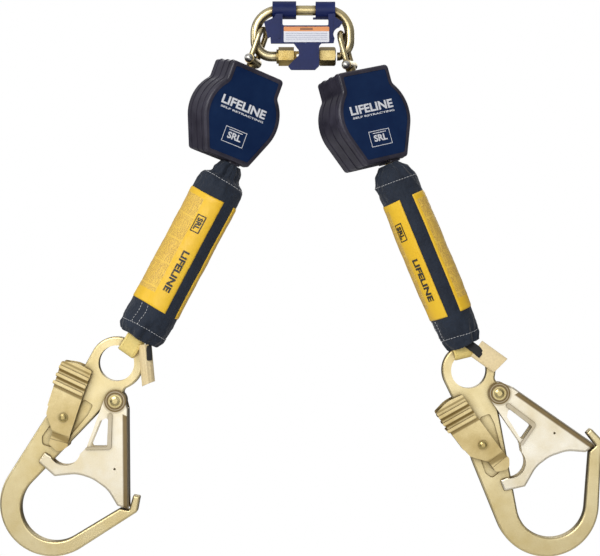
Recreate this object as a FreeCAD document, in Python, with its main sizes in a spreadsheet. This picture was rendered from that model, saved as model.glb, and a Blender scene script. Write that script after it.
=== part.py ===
"""Twin-leg self retracting lifeline as a parametric assembly of separate pieces.

World frame: millimetres, +X to the wearer's left leg, +Y away from the front, +Z up.
The origin is the centre of the harness bar at the top of the connector link.
"""
import FreeCAD, Part
import math
import os
import Sketcher
from FreeCAD import Placement, Rotation, Vector

X_AXIS = Vector(1, 0, 0)
Y_AXIS = Vector(0, 1, 0)
Z_AXIS = Vector(0, 0, 1)
SIDES = ("left", "right")

# Driving dimensions: alias, value in millimetres or degrees, meaning.
DIMENSIONS = [
    ("link_rod_radius", 5.0, "connector link rod"),
    ("link_bar_half", 24.0, "half of the straight harness bar"),
    ("link_top_bend", 23.0, "upper corner radius of the link"),
    ("link_low_bend", 16.0, "lower corner radius of the link"),
    ("link_depth", 46.0, "harness bar axis to gate axis"),
    ("nose_start", 34.5, "where the link's nose stud begins"),
    ("nose_length", 2.9, "nose stud proud of the link's end"),
    ("nose_radius", 4.2, "radius of the nose stud"),
    ("collar_radius", 9.5, "hexagon corner radius of collar and sleeve"),
    ("collar_bore", 4.7, "bore of the lock sleeve"),
    ("hinge_spot", -4.5, "gate hinge axis along the gate line"),
    ("hinge_pin_radius", 1.5, "gate hinge pin"),
    ("gate_rod_radius", 4.6, "gate bar"),
    ("gate_end", 33.2, "free end of the gate bar"),
    ("sleeve_start", 16.4, "inner end of the lock sleeve"),
    ("running_gap", 0.05, "radial clearance of a running fit"),
    ("keeper_outer", 8.75, "outside of the keeper's rolled sleeves"),
    ("keeper_bore", 5.35, "inside of the keeper's rolled sleeves"),
    ("keeper_front", -12.0, "front face of the keeper panel"),
    ("keeper_thick", 2.4, "keeper panel thickness"),
    ("shackle_wire", 2.7, "shackle wire radius"),
    ("shackle_half", 9.2, "half spacing of the shackle legs"),
    ("shackle_rise", 33.5, "shackle pin axis to the crown's wire centre"),
    ("shackle_pin_radius", 3.0, "shackle pin"),
    ("ear_radius", 4.9, "shackle ear and stud eye"),
    ("ear_thick", 6.0, "shackle ear thickness"),
    ("stud_radius", 5.0, "swivel stud shaft"),
    ("stud_flange", 8.0, "swivel stud retaining flange"),
    ("house_top", -9.0, "housing top below the shackle pin"),
    ("house_bottom", -103.0, "housing bottom below the shackle pin"),
    ("house_half_top", 29.5, "half width at the housing's top"),
    ("house_half_bottom", 24.5, "half width at the housing's bottom"),
    ("house_front", -23.0, "front of the housing"),
    ("house_back", 23.0, "back of the housing"),
    ("house_parting", 3.5, "plane where the two shells meet"),
    ("cavity_front", -18.6, "front end of the housing's hollow"),
    ("shell_wall", 3.0, "shell wall"),
    ("drum_height", -57.0, "drum axis below the shackle pin"),
    ("bulge_radius", 41.0, "round bulge of the housing over the drum"),
    ("neck_radius", 6.0, "hollow corner between the housing's shoulder and bulge"),
    ("plate_inset", 4.6, "face plate edge inside the housing outline"),
    ("plate_recess", 1.8, "depth of the face plate's recess"),
    ("plate_thick", 1.4, "face plate thickness"),
    ("screw_radius", 1.5, "housing screw shank"),
    ("screw_head", 2.9, "housing screw head radius"),
    ("axle_radius", 4.0, "drum axle"),
    ("drum_hub", 12.0, "drum hub"),
    ("drum_flange", 33.0, "drum flange"),
    ("coil_radius", 25.0, "wound webbing"),
    ("frame_front", 4.2, "front face of the load frame plate"),
    ("frame_back", 7.8, "back face of the load frame plate"),
    ("frame_radius", 35.6, "load frame plate around the drum"),
    ("tooth_tip", 27.0, "ratchet tooth tips in the load frame"),
    ("tooth_root", 31.0, "ratchet tooth roots in the load frame"),
    ("pawl_ring", 15.0, "pawl pivots from the drum axis"),
    ("pawl_pin", 2.0, "pawl pivot post"),
    ("web_half", 8.6, "half width of the lifeline webbing"),
    ("web_thick", 1.6, "lifeline webbing thickness"),
    ("web_centre", -7.5, "webbing mid plane in the housing"),
    ("web_exit", 11.0, "webbing's way out, aside of the housing's middle"),
    ("cover_length", 190.0, "absorber cover with its cuffs"),
    ("cover_radius", 24.2, "absorber cover radius"),
    ("label_length", 123.0, "absorber label length"),
    ("label_thick", 0.7, "absorber label thickness"),
    ("label_arc", 150.0, "arc of each label in degrees"),
    ("eye_radius", 17.7, "hook eye"),
    ("eye_outer", 26.5, "outside of the hook's eye ring"),
    ("hook_half", 6.5, "half thickness of the hook body"),
    ("bowl_radius", 34.0, "inside of the hook bowl"),
    ("bowl_back", 52.0, "outside of the hook bowl"),
    ("gate_inner", 6.9, "inner face of the hook gate's cheeks"),
    ("gate_sheet", 1.8, "hook gate sheet thickness"),
    ("gate_rim", 1.2, "how far the rim of the hook gate's window stands proud"),
    ("gate_boss", 0.5, "boss of the hook gate round its rivet"),
    ("lever_inner", 10.2, "inner face of the lever's cheeks"),
    ("lever_sheet", 1.6, "lever sheet thickness"),
    ("lever_rib", 1.4, "how far the lever's ribs stand proud"),
    ("rivet_radius", 3.6, "hook gate rivet"),
    ("lever_rivet", 2.6, "lock lever rivet"),
]

# Where each leg's pieces lie: shackle pin, tilts, and the turn of each piece about its axis.
LEGS = {
    "left": {
        "pin": Vector(-49.34, 0, -50.44), "tilt": 20.0, "pin_turn": 72.0, "swivel": 28.0,
        "cover": Vector(-72.5, -9.0, -158.5), "cover_tilt": 28.0, "cover_turn": -47.0,
        "eye": Vector(-184.3, -9.0, -351.9), "eye_tilt": 43.0, "hook_tilt": 22.6,
    },
    "right": {
        "pin": Vector(47.06, 0, -54.77), "tilt": -15.0, "pin_turn": 72.0, "swivel": 28.0,
        "cover": Vector(87.5, -9.0, -158.5), "cover_tilt": -22.5, "cover_turn": -88.0,
        "eye": Vector(164.7, -9.0, -359.1), "eye_tilt": -13.6, "hook_tilt": -32.0,
    },
}

doc = FreeCAD.newDocument("self_retracting_lifeline")
sheet = doc.addObject("Spreadsheet::Sheet", "sizes")
for row, (alias, value, meaning) in enumerate(DIMENSIONS, start=1):
    sheet.set(f"A{row}", alias)
    sheet.set(f"B{row}", str(value))
    sheet.set(f"C{row}", meaning)
    sheet.setAlias(f"B{row}", alias)
doc.recompute()

size = {alias: float(sheet.get(alias)) for alias, _, _ in DIMENSIONS}
pieces = []


# ---------------------------------------------------------------- helpers
def bind(item, prop, value):
    """Set a property: text is an expression over the sheet, a number is set as it is."""
    if isinstance(value, str):
        item.setExpression(prop, value)
    else:
        setattr(item, prop, value)


def ref(text):
    """Prefix every sheet alias in an expression with the sheet's name."""
    words = "".join(c if c.isalnum() or c == "_" else " " for c in text).split()
    for word in sorted(set(words), key=len, reverse=True):
        if word in size:
            text = text.replace(word, "sizes." + word)
    return text


def keep(item, name, place=None):
    """Name a finished sub-part, place it and remember it for export."""
    item.Label = name
    if place is not None:
        item.Placement = place
    pieces.append(item)
    return item


def place_at(origin, tilt=0.0, turn=0.0):
    """Turn about the piece's own Z, tilt about the world's Y, then move to the origin point."""
    rotation = Rotation(Y_AXIS, tilt).multiply(Rotation(Z_AXIS, turn))
    return Placement(origin, rotation)


def polar(centre, radius, angle):
    turn = math.radians(angle)
    return (centre[0] + radius * math.cos(turn), centre[1] + radius * math.sin(turn))


def arc(centre, radius, start, end):
    """An outline item: an arc from one angle to another, clockwise when the end is lower."""
    return {"centre": centre, "radius": radius, "start": start, "end": end}


def edge_arc(centre, radius, start, end):
    circle = Part.Circle(Vector(centre[0], centre[1], 0), Z_AXIS, radius)
    low, high = sorted((math.radians(start), math.radians(end)))
    return Part.ArcOfCircle(circle, low, high)


def item_ends(item):
    if isinstance(item, dict):
        centre, radius = item["centre"], item["radius"]
        return polar(centre, radius, item["start"]), polar(centre, radius, item["end"])
    return (item[0], item[1]), (item[0], item[1])


def rounded_corner(before, corner, after, radius):
    """Entry point, exit point and arc that round a corner."""
    point = Vector(corner[0], corner[1], 0)
    towards = (Vector(before[0], before[1], 0) - point).normalize()
    away = (Vector(after[0], after[1], 0) - point).normalize()
    half = towards.getAngle(away) / 2
    reach = radius / math.tan(half)
    centre = point + (towards + away).normalize() * (radius / math.sin(half))
    entry = point + towards * reach
    leave = point + away * reach
    middle = centre + (point - centre).normalize() * radius
    return entry, leave, Part.Arc(entry, middle, leave)


def outline(items):
    """Closed outline from corners (x, y), rounded corners (x, y, radius) and arcs."""
    count = len(items)
    spans = []
    for index, item in enumerate(items):
        before = item_ends(items[index - 1])[1]
        after = item_ends(items[(index + 1) % count])[0]
        if isinstance(item, dict):
            first, last = (Vector(p[0], p[1], 0) for p in item_ends(item))
            shape = edge_arc(item["centre"], item["radius"], item["start"], item["end"])
            spans.append((first, last, shape))
        elif len(item) == 3:
            spans.append(rounded_corner(before, item, after, item[2]))
        else:
            spans.append((Vector(item[0], item[1], 0), Vector(item[0], item[1], 0), None))
    geometry = []
    for index, (first, last, shape) in enumerate(spans):
        following = spans[(index + 1) % count][0]
        if shape is not None:
            geometry.append(shape)
        if (following - last).Length > 1e-5:
            geometry.append(Part.LineSegment(last, following))
    return geometry


def mirrored(items):
    """Right-hand outline items followed by their mirror image in x = 0."""
    flipped = []
    for item in reversed(items):
        if isinstance(item, dict):
            centre = (-item["centre"][0], item["centre"][1])
            flipped.append(arc(centre, item["radius"], 180 - item["end"], 180 - item["start"]))
        else:
            flipped.append((-item[0],) + tuple(item[1:]))
    return items + flipped


def rectangle(x0, y0, x1, y1, radius=0.0):
    corners = [(x0, y0), (x1, y0), (x1, y1), (x0, y1)]
    if radius:
        corners = [corner + (radius,) for corner in corners]
    return outline(corners)


def hexagon(radius):
    return outline([polar((0, 0), radius, 90 + 60 * side) for side in range(6)])


def new_body(name):
    return doc.addObject("PartDesign::Body", name)


def base_plane(body, role):
    return next(f for f in body.Origin.OriginFeatures if f.Role == role)


def sketch_on(body, role, offset, geometry):
    """A sketch parallel to one of the body's base planes, moved along its normal."""
    sketch = body.newObject("Sketcher::SketchObject", body.Name + "_sketch")
    sketch.AttachmentSupport = (base_plane(body, role), [""])
    sketch.MapMode = "FlatFace"
    bind(sketch, ".AttachmentOffset.Base.z", ref(offset))
    sketch.addGeometry(geometry, False)
    return sketch


def circles_on(body, role, offset, circles):
    """A sketch of circles (x, y, radius expression), each radius bound to the sheet."""
    sketch = sketch_on(body, role, offset, [])
    for number, (x, y, radius) in enumerate(circles):
        sketch.addGeometry(Part.Circle(Vector(x, y, 0), Z_AXIS, 1.0), False)
        sketch.addConstraint(Sketcher.Constraint("Radius", number, 1.0))
        sketch.setExpression(f"Constraints[{number}]", ref(radius))
    return sketch


def feature(body, kind, sketch, length):
    made = body.newObject("PartDesign::" + kind, body.Name + "_" + kind.lower())
    made.Profile = sketch
    bind(made, "Length", ref(length))
    return made


# Sketches on the XZ plane face the front (-Y): a pad grows forwards, a pocket cuts backwards.
def pad_y(body, geometry, front, back):
    return feature(body, "Pad", sketch_on(body, "XZ_Plane", f"-({back})", geometry),
                   f"({back})-({front})")


def pocket_y(body, geometry, front, back):
    return feature(body, "Pocket", sketch_on(body, "XZ_Plane", f"-({front})", geometry),
                   f"({back})-({front})")


def round_pad_y(body, circles, front, back):
    return feature(body, "Pad", circles_on(body, "XZ_Plane", f"-({back})", circles),
                   f"({back})-({front})")


def round_pocket_y(body, circles, front, back):
    return feature(body, "Pocket", circles_on(body, "XZ_Plane", f"-({front})", circles),
                   f"({back})-({front})")


def pad_x(body, geometry, low, high):
    return feature(body, "Pad", sketch_on(body, "YZ_Plane", low, geometry), f"({high})-({low})")


def round_pad_x(body, circles, low, high):
    return feature(body, "Pad", circles_on(body, "YZ_Plane", low, circles), f"({high})-({low})")


def round_pocket_x(body, circles, low, high):
    return feature(body, "Pocket", circles_on(body, "YZ_Plane", high, circles),
                   f"({high})-({low})")


def pad_z(body, geometry, low, high):
    return feature(body, "Pad", sketch_on(body, "XY_Plane", low, geometry), f"({high})-({low})")


def round_pad_z(body, circles, low, high):
    return feature(body, "Pad", circles_on(body, "XY_Plane", low, circles), f"({high})-({low})")


def pocket_z(body, geometry, low, high):
    return feature(body, "Pocket", sketch_on(body, "XY_Plane", high, geometry),
                   f"({high})-({low})")


def round_pocket_z(body, circles, low, high):
    return feature(body, "Pocket", circles_on(body, "XY_Plane", high, circles),
                   f"({high})-({low})")


def revolve(body, role, geometry, axis_name):
    """Turn a profile about the body's own X, Y or Z axis."""
    made = body.newObject("PartDesign::Revolution", body.Name + "_revolution")
    made.Profile = sketch_on(body, role, "0", geometry)
    made.ReferenceAxis = (base_plane(body, axis_name), [""])
    made.Angle = 360
    return made


def dress(body, kind, amount, choose):
    """Fillet or chamfer the edges of the body's tip that a test picks out."""
    doc.recompute()
    tip = body.Tip
    names = [f"Edge{n}" for n, edge in enumerate(tip.Shape.Edges, start=1) if choose(edge)]
    made = body.newObject("PartDesign::" + kind, body.Name + "_" + kind.lower())
    made.Base = (tip, names)
    bind(made, "Radius" if kind == "Fillet" else "Size", amount)
    return made


def at_depth(edge, depth):
    """True for an edge that lies wholly in the plane y = depth."""
    box = edge.BoundBox
    return abs(box.YMin - depth) < 1e-4 and abs(box.YMax - depth) < 1e-4


def primitive(kind, name, place, **sizes):
    made = doc.addObject("Part::" + kind, name)
    for prop, value in sizes.items():
        bind(made, prop, ref(value) if isinstance(value, str) else value)
    made.Placement = place
    return made


def cylinder(name, radius, height, base, axis=Z_AXIS):
    return primitive("Cylinder", name, Placement(base, Rotation(Z_AXIS, axis)),
                     Radius=radius, Height=height)


def fuse(name, shapes):
    made = doc.addObject("Part::MultiFuse", name)
    made.Shapes = shapes
    return made


def cut(name, base, tool):
    made = doc.addObject("Part::Cut", name)
    made.Base = base
    made.Tool = tool
    return made


def compound(name, links):
    made = doc.addObject("Part::Compound", name)
    made.Links = links
    return made


def housing_outline(inset):
    """The housing's front outline, moved inwards: square shoulders, round bulge, tapered foot."""
    half_top = size["house_half_top"] - inset
    top = size["house_top"] - inset
    half_bottom = size["house_half_bottom"] - 0.6 * inset
    bottom = size["house_bottom"] + inset
    centre = (0.0, size["drum_height"])
    radius = size["bulge_radius"] - inset
    hollow = size["neck_radius"] + inset
    neck_x = half_top + hollow
    neck_rise = math.sqrt((radius + hollow) ** 2 - neck_x ** 2)
    start = math.degrees(math.atan2(neck_rise, neck_x))
    neck = arc((neck_x, centre[1] + neck_rise), hollow, 180, 180 + start)
    reach = math.hypot(half_bottom, bottom - centre[1])
    slope = math.degrees(math.atan2(bottom - centre[1], half_bottom))
    end = slope + math.degrees(math.acos(radius / reach))
    corner = max(4.0 - 0.4 * inset, 1.5)
    right = [(half_top, top, corner), neck, arc(centre, radius, start, end),
             (half_bottom, bottom, corner)]
    return outline(mirrored(right))


# ---------------------------------------------------------------- connector
def make_link():
    """Closed rod link and the threaded nose stud in its end, where the gate shuts."""
    rod = size["link_rod_radius"]
    half = size["link_bar_half"]
    bend = size["link_top_bend"]
    low = size["link_low_bend"]
    depth = size["link_depth"]
    side = half + bend
    low_x = side - low
    low_z = low - depth
    solids = [cylinder("bar", "link_rod_radius", "2*link_bar_half", Vector(-half, 0, 0), X_AXIS)]
    for sign in (-1, 1):
        upper = Rotation(X_AXIS, 90) if sign > 0 else Rotation(Z_AXIS, 180).multiply(
            Rotation(X_AXIS, 90))
        solids.append(primitive(
            "Torus", "upper_bend", Placement(Vector(sign * half, 0, -bend), upper),
            Radius1="link_top_bend", Radius2="link_rod_radius", Angle3=90.0))
        lower = Rotation(Y_AXIS, 90).multiply(upper) if sign > 0 else Rotation(
            Y_AXIS, -90).multiply(upper)
        solids.append(primitive(
            "Torus", "lower_bend", Placement(Vector(sign * low_x, 0, low_z), lower),
            Radius1="link_low_bend", Radius2="link_rod_radius", Angle3=90.0))
        solids.append(cylinder("upright", "link_rod_radius",
                               "link_depth-link_top_bend-link_low_bend",
                               Vector(sign * side, 0, low_z)))
    solids.append(cylinder("hinge_end", "link_rod_radius", "7", Vector(-low_x, 0, -depth), X_AXIS))
    ring = fuse("link_ring", solids)
    block = primitive("Box", "nose_room", Placement(Vector(low_x - 2, -9, -depth - 9), Rotation()),
                      Length="nose_start+nose_length-link_bar_half-link_top_bend+link_low_bend+2",
                      Width=18.0, Height=18.0)
    opened = cut("link_open", ring, block)
    keep(opened, "link_body")
    keep(cylinder("nose", "nose_radius", "nose_length", Vector(size["nose_start"], 0, -depth), X_AXIS),
         "nose_stud")


def make_hinge_collar():
    """Hexagonal collar fixed on the link's hinge end, with two ears for the gate's tongue."""
    body = new_body("hinge_collar")
    low_z = -size["link_depth"]
    spot = size["hinge_spot"]
    moved = Placement(Vector(0, 0, low_z), Rotation())
    pad_x(body, hexagon(size["collar_radius"]), "-24", "-8.5")
    round_pad_x(body, [(0, 0, "collar_radius-2.3")], "-26", "-24")
    for front, back in (("-5.4", "-2.65"), ("2.65", "5.4")):
        ear = outline([(-10, -4.6), (spot, -4.6), arc((spot, 0), 4.6, -90, 90), (-10, 4.6)])
        pad_y(body, ear, front, back)
    round_pocket_y(body, [(spot, 0, "hinge_pin_radius")], "-6", "6")
    round_pocket_x(body, [(0, 0, "link_rod_radius")], "-27", "-24")
    keep(body, "hinge_collar", moved)


def make_gate():
    spot = Vector(size["hinge_spot"], 0, -size["link_depth"])
    pin = cylinder("gate_hinge_pin", "hinge_pin_radius", "10.8",
                   spot + Vector(0, -5.4, 0), Y_AXIS)
    keep(pin, "gate_hinge_pin")
    body = new_body("gate_bar")
    tongue = outline([(0.0, -3.6), (4.8, -3.6), (4.8, 3.6), (0.0, 3.6), arc((0, 0), 3.6, 90, 270)])
    pad_y(body, tongue, "-2.4", "2.4")
    round_pad_x(body, [(0, 0, "gate_rod_radius")], "4.8", "gate_end-hinge_spot")
    round_pocket_y(body, [(0, 0, "hinge_pin_radius+running_gap")], "-3", "3")
    keep(body, "gate_bar", Placement(spot, Rotation()))


def make_lock_sleeve():
    """Hexagonal sleeve that runs forward over the nose; its ends are turned round."""
    body = new_body("lock_sleeve")
    pad_x(body, hexagon(size["collar_radius"]), "sleeve_start", "gate_end")
    start, end, corner = size["sleeve_start"], size["gate_end"], size["collar_radius"]
    for near, far in ((start, start + 2.2), (end, end - 2.2)):
        trim = body.newObject("PartDesign::Groove", "sleeve_turning")
        wedge = outline([(near, corner - 1.5), (near, corner + 1), (far, corner + 1)])
        trim.Profile = sketch_on(body, "XZ_Plane", "0", wedge)
        trim.ReferenceAxis = (base_plane(body, "X_Axis"), [""])
        trim.Angle = 360
    round_pocket_x(body, [(0, 0, "collar_bore")], "sleeve_start-1", "gate_end+1")
    keep(body, "lock_sleeve", Placement(Vector(0, 0, -size["link_depth"]), Rotation()))


def make_keeper():
    """Moulded keeper: two rolled sleeves on the harness bar, a label panel and a gate tab."""
    body = new_body("keeper_bracket")
    notch_left = arc((-36.6, -22.9), 7.0, 56, -72)
    notch_right = arc((37.7, -25.6), 7.0, 100, 214)
    panel = outline([
        (-26.3, -5.2, 1.0), (-19.8, -5.2, 1.0), (-19.8, -16.8, 1.5), (25.6, -16.8, 1.5),
        (25.6, -5.2, 1.0), (32.5, -5.2, 1.0), (32.5, -8.5), (40.0, -13.6, 0.6),
        notch_right, (31.0, -34.3, 0.8), (18.6, -34.6, 1.5), (16.6, -37.0, 2.0),
        (16.6, -57.0, 1.0), (12.4, -61.0, 1.0),
        (-11.5, -61.0, 1.0), (-14.4, -57.2, 1.0), (-3.6, -46.5, 1.5), (-3.6, -41.5, 3.0),
        (-8.6, -34.8, 1.0), (-31.5, -34.8, 0.8), notch_left, (-38.2, -13.4, 0.6),
        (-28.3, -9.0, 1.5)])
    pad_y(body, panel, "keeper_front", "keeper_front+keeper_thick")
    for low, high in (("-30", "-6.3"), ("13", "32.6")):
        round_pad_x(body, [(0, 0, "keeper_outer")], low, high)
    for low, high in ((-26.3, -19.8), (25.6, 32.5)):
        pad_y(body, rectangle(low, -10.5, high, -5.4), "keeper_front+0.2", "-2")
        rib = rectangle(low + 2.4, -30.0, high - 2.4, -9.0, 0.6)
        pad_y(body, rib, "keeper_front-0.8", "keeper_front+0.4")
    pad_z(body, rectangle(-30.0, -3.0, -6.3, 3.0, 0.5), "keeper_outer-1.3", "keeper_outer-0.1")
    pad_z(body, rectangle(10.4, -3.0, 30.0, 3.0, 0.5), "-keeper_outer+0.1", "-keeper_outer+1.3")
    round_pocket_x(body, [(0, 0, "keeper_bore")], "-40", "40")
    for low, high in (("-40", "-26"), ("26.5", "40")):
        round_pocket_x(body, [(0, 0, "keeper_outer-1.4")], low, high)
    pocket_y(body, rectangle(-40.0, -2.6, 40.0, 2.6), "5", "13")
    keep(body, "keeper_bracket")
    label = new_body("warning_label")
    pad_y(label, rectangle(-18.6, -33.5, 26.4, -18.2, 0.8), "keeper_front-0.45", "keeper_front")
    keep(label, "warning_label")


# ---------------------------------------------------------------- shackle and stud
def make_shackle(side, leg):
    """Bow of round wire whose crown lies on the link, its eyes and its riveted pin."""
    place = place_at(leg["pin"], leg["tilt"], leg["pin_turn"])
    half = size["shackle_half"]
    crown = size["shackle_rise"] - half
    solids = [primitive("Torus", side + "_crown",
                        Placement(Vector(0, 0, crown), Rotation(X_AXIS, 90)),
                        Radius1="shackle_half", Radius2="shackle_wire", Angle3=180.0)]
    for sign in (-1, 1):
        solids.append(cylinder(side + "_leg", "shackle_wire", "shackle_rise-shackle_half",
                               Vector(sign * half, 0, 0)))
        solids.append(cylinder(side + "_ear", "ear_radius", "ear_thick",
                               Vector(sign * half - size["ear_thick"] / 2, 0, 0), X_AXIS))
    bow = fuse(side + "_bow", solids)
    hole = cylinder(side + "_hole", "shackle_pin_radius", 40.0, Vector(-20, 0, 0), X_AXIS)
    keep(cut(side + "_shackle_bow", bow, hole), side + "_shackle_bow", place)
    outer = half + size["ear_thick"] / 2
    dome = primitive("Sphere", side + "_dome", Placement(Vector(-outer - 1.2, 0, 0), Rotation()),
                     Radius=4.3)
    room = primitive("Box", side + "_dome_room", Placement(Vector(-outer, -8, -8), Rotation()),
                     Length=16.0, Width=16.0, Height=16.0)
    head = cut(side + "_head", dome, room)
    shank = cylinder(side + "_shank", "shackle_pin_radius",
                     "2*shackle_half+ear_thick+1.6", Vector(-outer, 0, 0), X_AXIS)
    washer = cylinder(side + "_washer", "shackle_pin_radius+1", 1.4, Vector(outer, 0, 0), X_AXIS)
    keep(fuse(side + "_shackle_pin", [head, shank, washer]), side + "_shackle_pin", place)


def make_stud(side, leg):
    """Swivel stud: an eye between the shackle ears, a shaft and a retaining flange."""
    place = place_at(leg["pin"], leg["tilt"], leg["pin_turn"])
    width = size["shackle_half"] - size["ear_thick"] / 2 - 0.35
    eye = cylinder(side + "_eye", "ear_radius", 2 * width, Vector(-width, 0, 0), X_AXIS)
    neck = cylinder(side + "_neck", "stud_radius", 18.0, Vector(0, 0, -20.0))
    flange = cylinder(side + "_flange", "stud_flange", 3.2, Vector(0, 0, -20.0))
    solid = fuse(side + "_stud_solid", [eye, neck, flange])
    hole = cylinder(side + "_stud_hole", "shackle_pin_radius+running_gap", 40.0,
                    Vector(-20, 0, 0), X_AXIS)
    keep(cut(side + "_swivel_stud", solid, hole), side + "_swivel_stud", place)


# ---------------------------------------------------------------- housing
SCREW_SPOTS = [(-24.0, -15.2), (24.0, -15.2), (-19.0, -97.2), (19.0, -97.2)]
STUD_BORE = [(0, 0, "stud_radius+1.5")]


def make_front_shell(side, place):
    body = new_body(side + "_front_shell")
    pad_y(body, housing_outline(0.0), "house_front", "house_parting")
    dress(body, "Fillet", 2.4, lambda edge: at_depth(edge, size["house_front"]))
    for depth in ("-15.5", "-2.5"):
        pad_y(body, housing_outline(-0.55), depth, depth + "+1.3")
    pocket_y(body, housing_outline(size["plate_inset"]), "house_front-1",
             "house_front+plate_recess")
    cavity = sketch_on(body, "XZ_Plane", "-house_parting", housing_outline(size["shell_wall"]))
    hollow = feature(body, "Pocket", cavity, "house_parting-cavity_front")
    hollow.Reversed = True
    bosses = [(x, z, "screw_radius+2") for x, z in SCREW_SPOTS]
    round_pad_y(body, bosses, "house_front+shell_wall", "house_parting")
    round_pad_y(body, [(0, size["drum_height"], "axle_radius+3")],
                "house_front+shell_wall", "cavity_front+0.4")
    screw_holes = [(x, z, "screw_radius") for x, z in SCREW_SPOTS]
    round_pocket_y(body, screw_holes, "-10", "house_parting")
    round_pocket_y(body, [(0, size["drum_height"], "axle_radius")], "-19.5", "0")
    centre, out = size["web_centre"], size["web_exit"]
    pocket_z(body, rectangle(out - 5.0, centre - 10.6, out + 5.0, centre + 10.6, 1.5),
             "house_bottom-1", "house_bottom+4.5")
    pocket_z(body, rectangle(out - 6.6, centre - 12.2, out + 6.6, centre + 12.2),
             "house_bottom-1", "house_bottom")
    round_pocket_z(body, STUD_BORE, "house_top-5", "house_top+1")
    keep(body, side + "_front_shell", place)


def make_rear_shell(side, place):
    body = new_body(side + "_rear_shell")
    pad_y(body, housing_outline(0.0), "house_parting", "house_back")
    dress(body, "Fillet", 2.4, lambda edge: at_depth(edge, size["house_back"]))
    pad_y(body, housing_outline(-0.55), "12", "13.3")
    pocket_y(body, housing_outline(size["shell_wall"]), "house_parting", "house_back-shell_wall")
    bosses = [(x, z, "screw_radius+2") for x, z in SCREW_SPOTS]
    round_pad_y(body, bosses, "house_parting", "house_back-shell_wall")
    round_pad_y(body, [(0, size["drum_height"], "axle_radius+3")],
                "house_back-shell_wall-1.3", "house_back-shell_wall")
    through = [(x, z, "screw_radius") for x, z in SCREW_SPOTS]
    round_pocket_y(body, through, "house_parting", "house_back+1")
    heads = [(x, z, "screw_head") for x, z in SCREW_SPOTS]
    round_pocket_y(body, heads, "house_back-2.4", "house_back+1")
    round_pocket_y(body, [(0, size["drum_height"], "axle_radius")], "15", "19.5")
    round_pocket_z(body, STUD_BORE, "house_top-5", "house_top+1")
    keep(body, side + "_rear_shell", place)


def make_face_plate(side, place):
    body = new_body(side + "_face_plate")
    pad_y(body, housing_outline(size["plate_inset"] + 0.1),
          "house_front+plate_recess-plate_thick", "house_front+plate_recess")
    keep(body, side + "_face_plate", place)


def ratchet_outline():
    """Internal ratchet: each tooth has one radial face and one long slope."""
    teeth = 10
    pitch = 360 / teeth
    centre = (0.0, size["drum_height"])
    points = []
    for tooth in range(teeth):
        points.append(polar(centre, size["tooth_tip"], tooth * pitch))
        points.append(polar(centre, size["tooth_root"], tooth * pitch + 2))
        points.append(polar(centre, size["tooth_root"], tooth * pitch + 14))
    return outline(points)


def make_load_frame(side, place):
    """Bent steel plate between the stud and the drum, with the ratchet ring cut through it."""
    body = new_body(side + "_load_frame")
    half = 17.5
    centre = (0.0, size["drum_height"])
    radius = size["frame_radius"]
    start = math.degrees(math.acos(half / radius))
    ring = arc(centre, radius, start, start - 360 + 2 * (90 - start))
    pad_y(body, outline([(-half, -12.5), (half, -12.5), ring]), "frame_front", "frame_back")
    pad_z(body, rectangle(-10.0, -9.0, 10.0, size["frame_front"] + 1.0), "-16.5", "-12.5")
    pocket_y(body, rectangle(-9.4, -22.5, 9.4, -16.5), "frame_front-1", "frame_back+1")
    pocket_y(body, ratchet_outline(), "frame_front-1", "frame_back+1")
    round_pocket_z(body, [(0, 0, "stud_radius+running_gap")], "-17", "-12")
    keep(body, side + "_load_frame", place)


def make_axle_and_screws(side, place):
    drum = size["drum_height"]
    keep(cylinder(side + "_drum_axle", "axle_radius", 39.0, Vector(0, 0, 0), Y_AXIS),
         side + "_drum_axle", place.multiply(Placement(Vector(0, -19.5, drum),
                                                       Rotation(Z_AXIS, Y_AXIS))))
    screws = []
    for x, z in SCREW_SPOTS:
        shank = cylinder(side + "_screw_shank", "screw_radius", 29.4, Vector(x, -8.8, z), Y_AXIS)
        head = cylinder(side + "_screw_top", "screw_head", 1.9, Vector(x, 20.6, z), Y_AXIS)
        socket = cylinder(side + "_screw_socket", 1.3, 2.0, Vector(x, 21.4, z), Y_AXIS)
        screws.append(cut(side + "_screw", fuse(side + "_screw_solid", [shank, head]), socket))
    keep(compound(side + "_housing_screws", screws), side + "_housing_screws", place)


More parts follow.
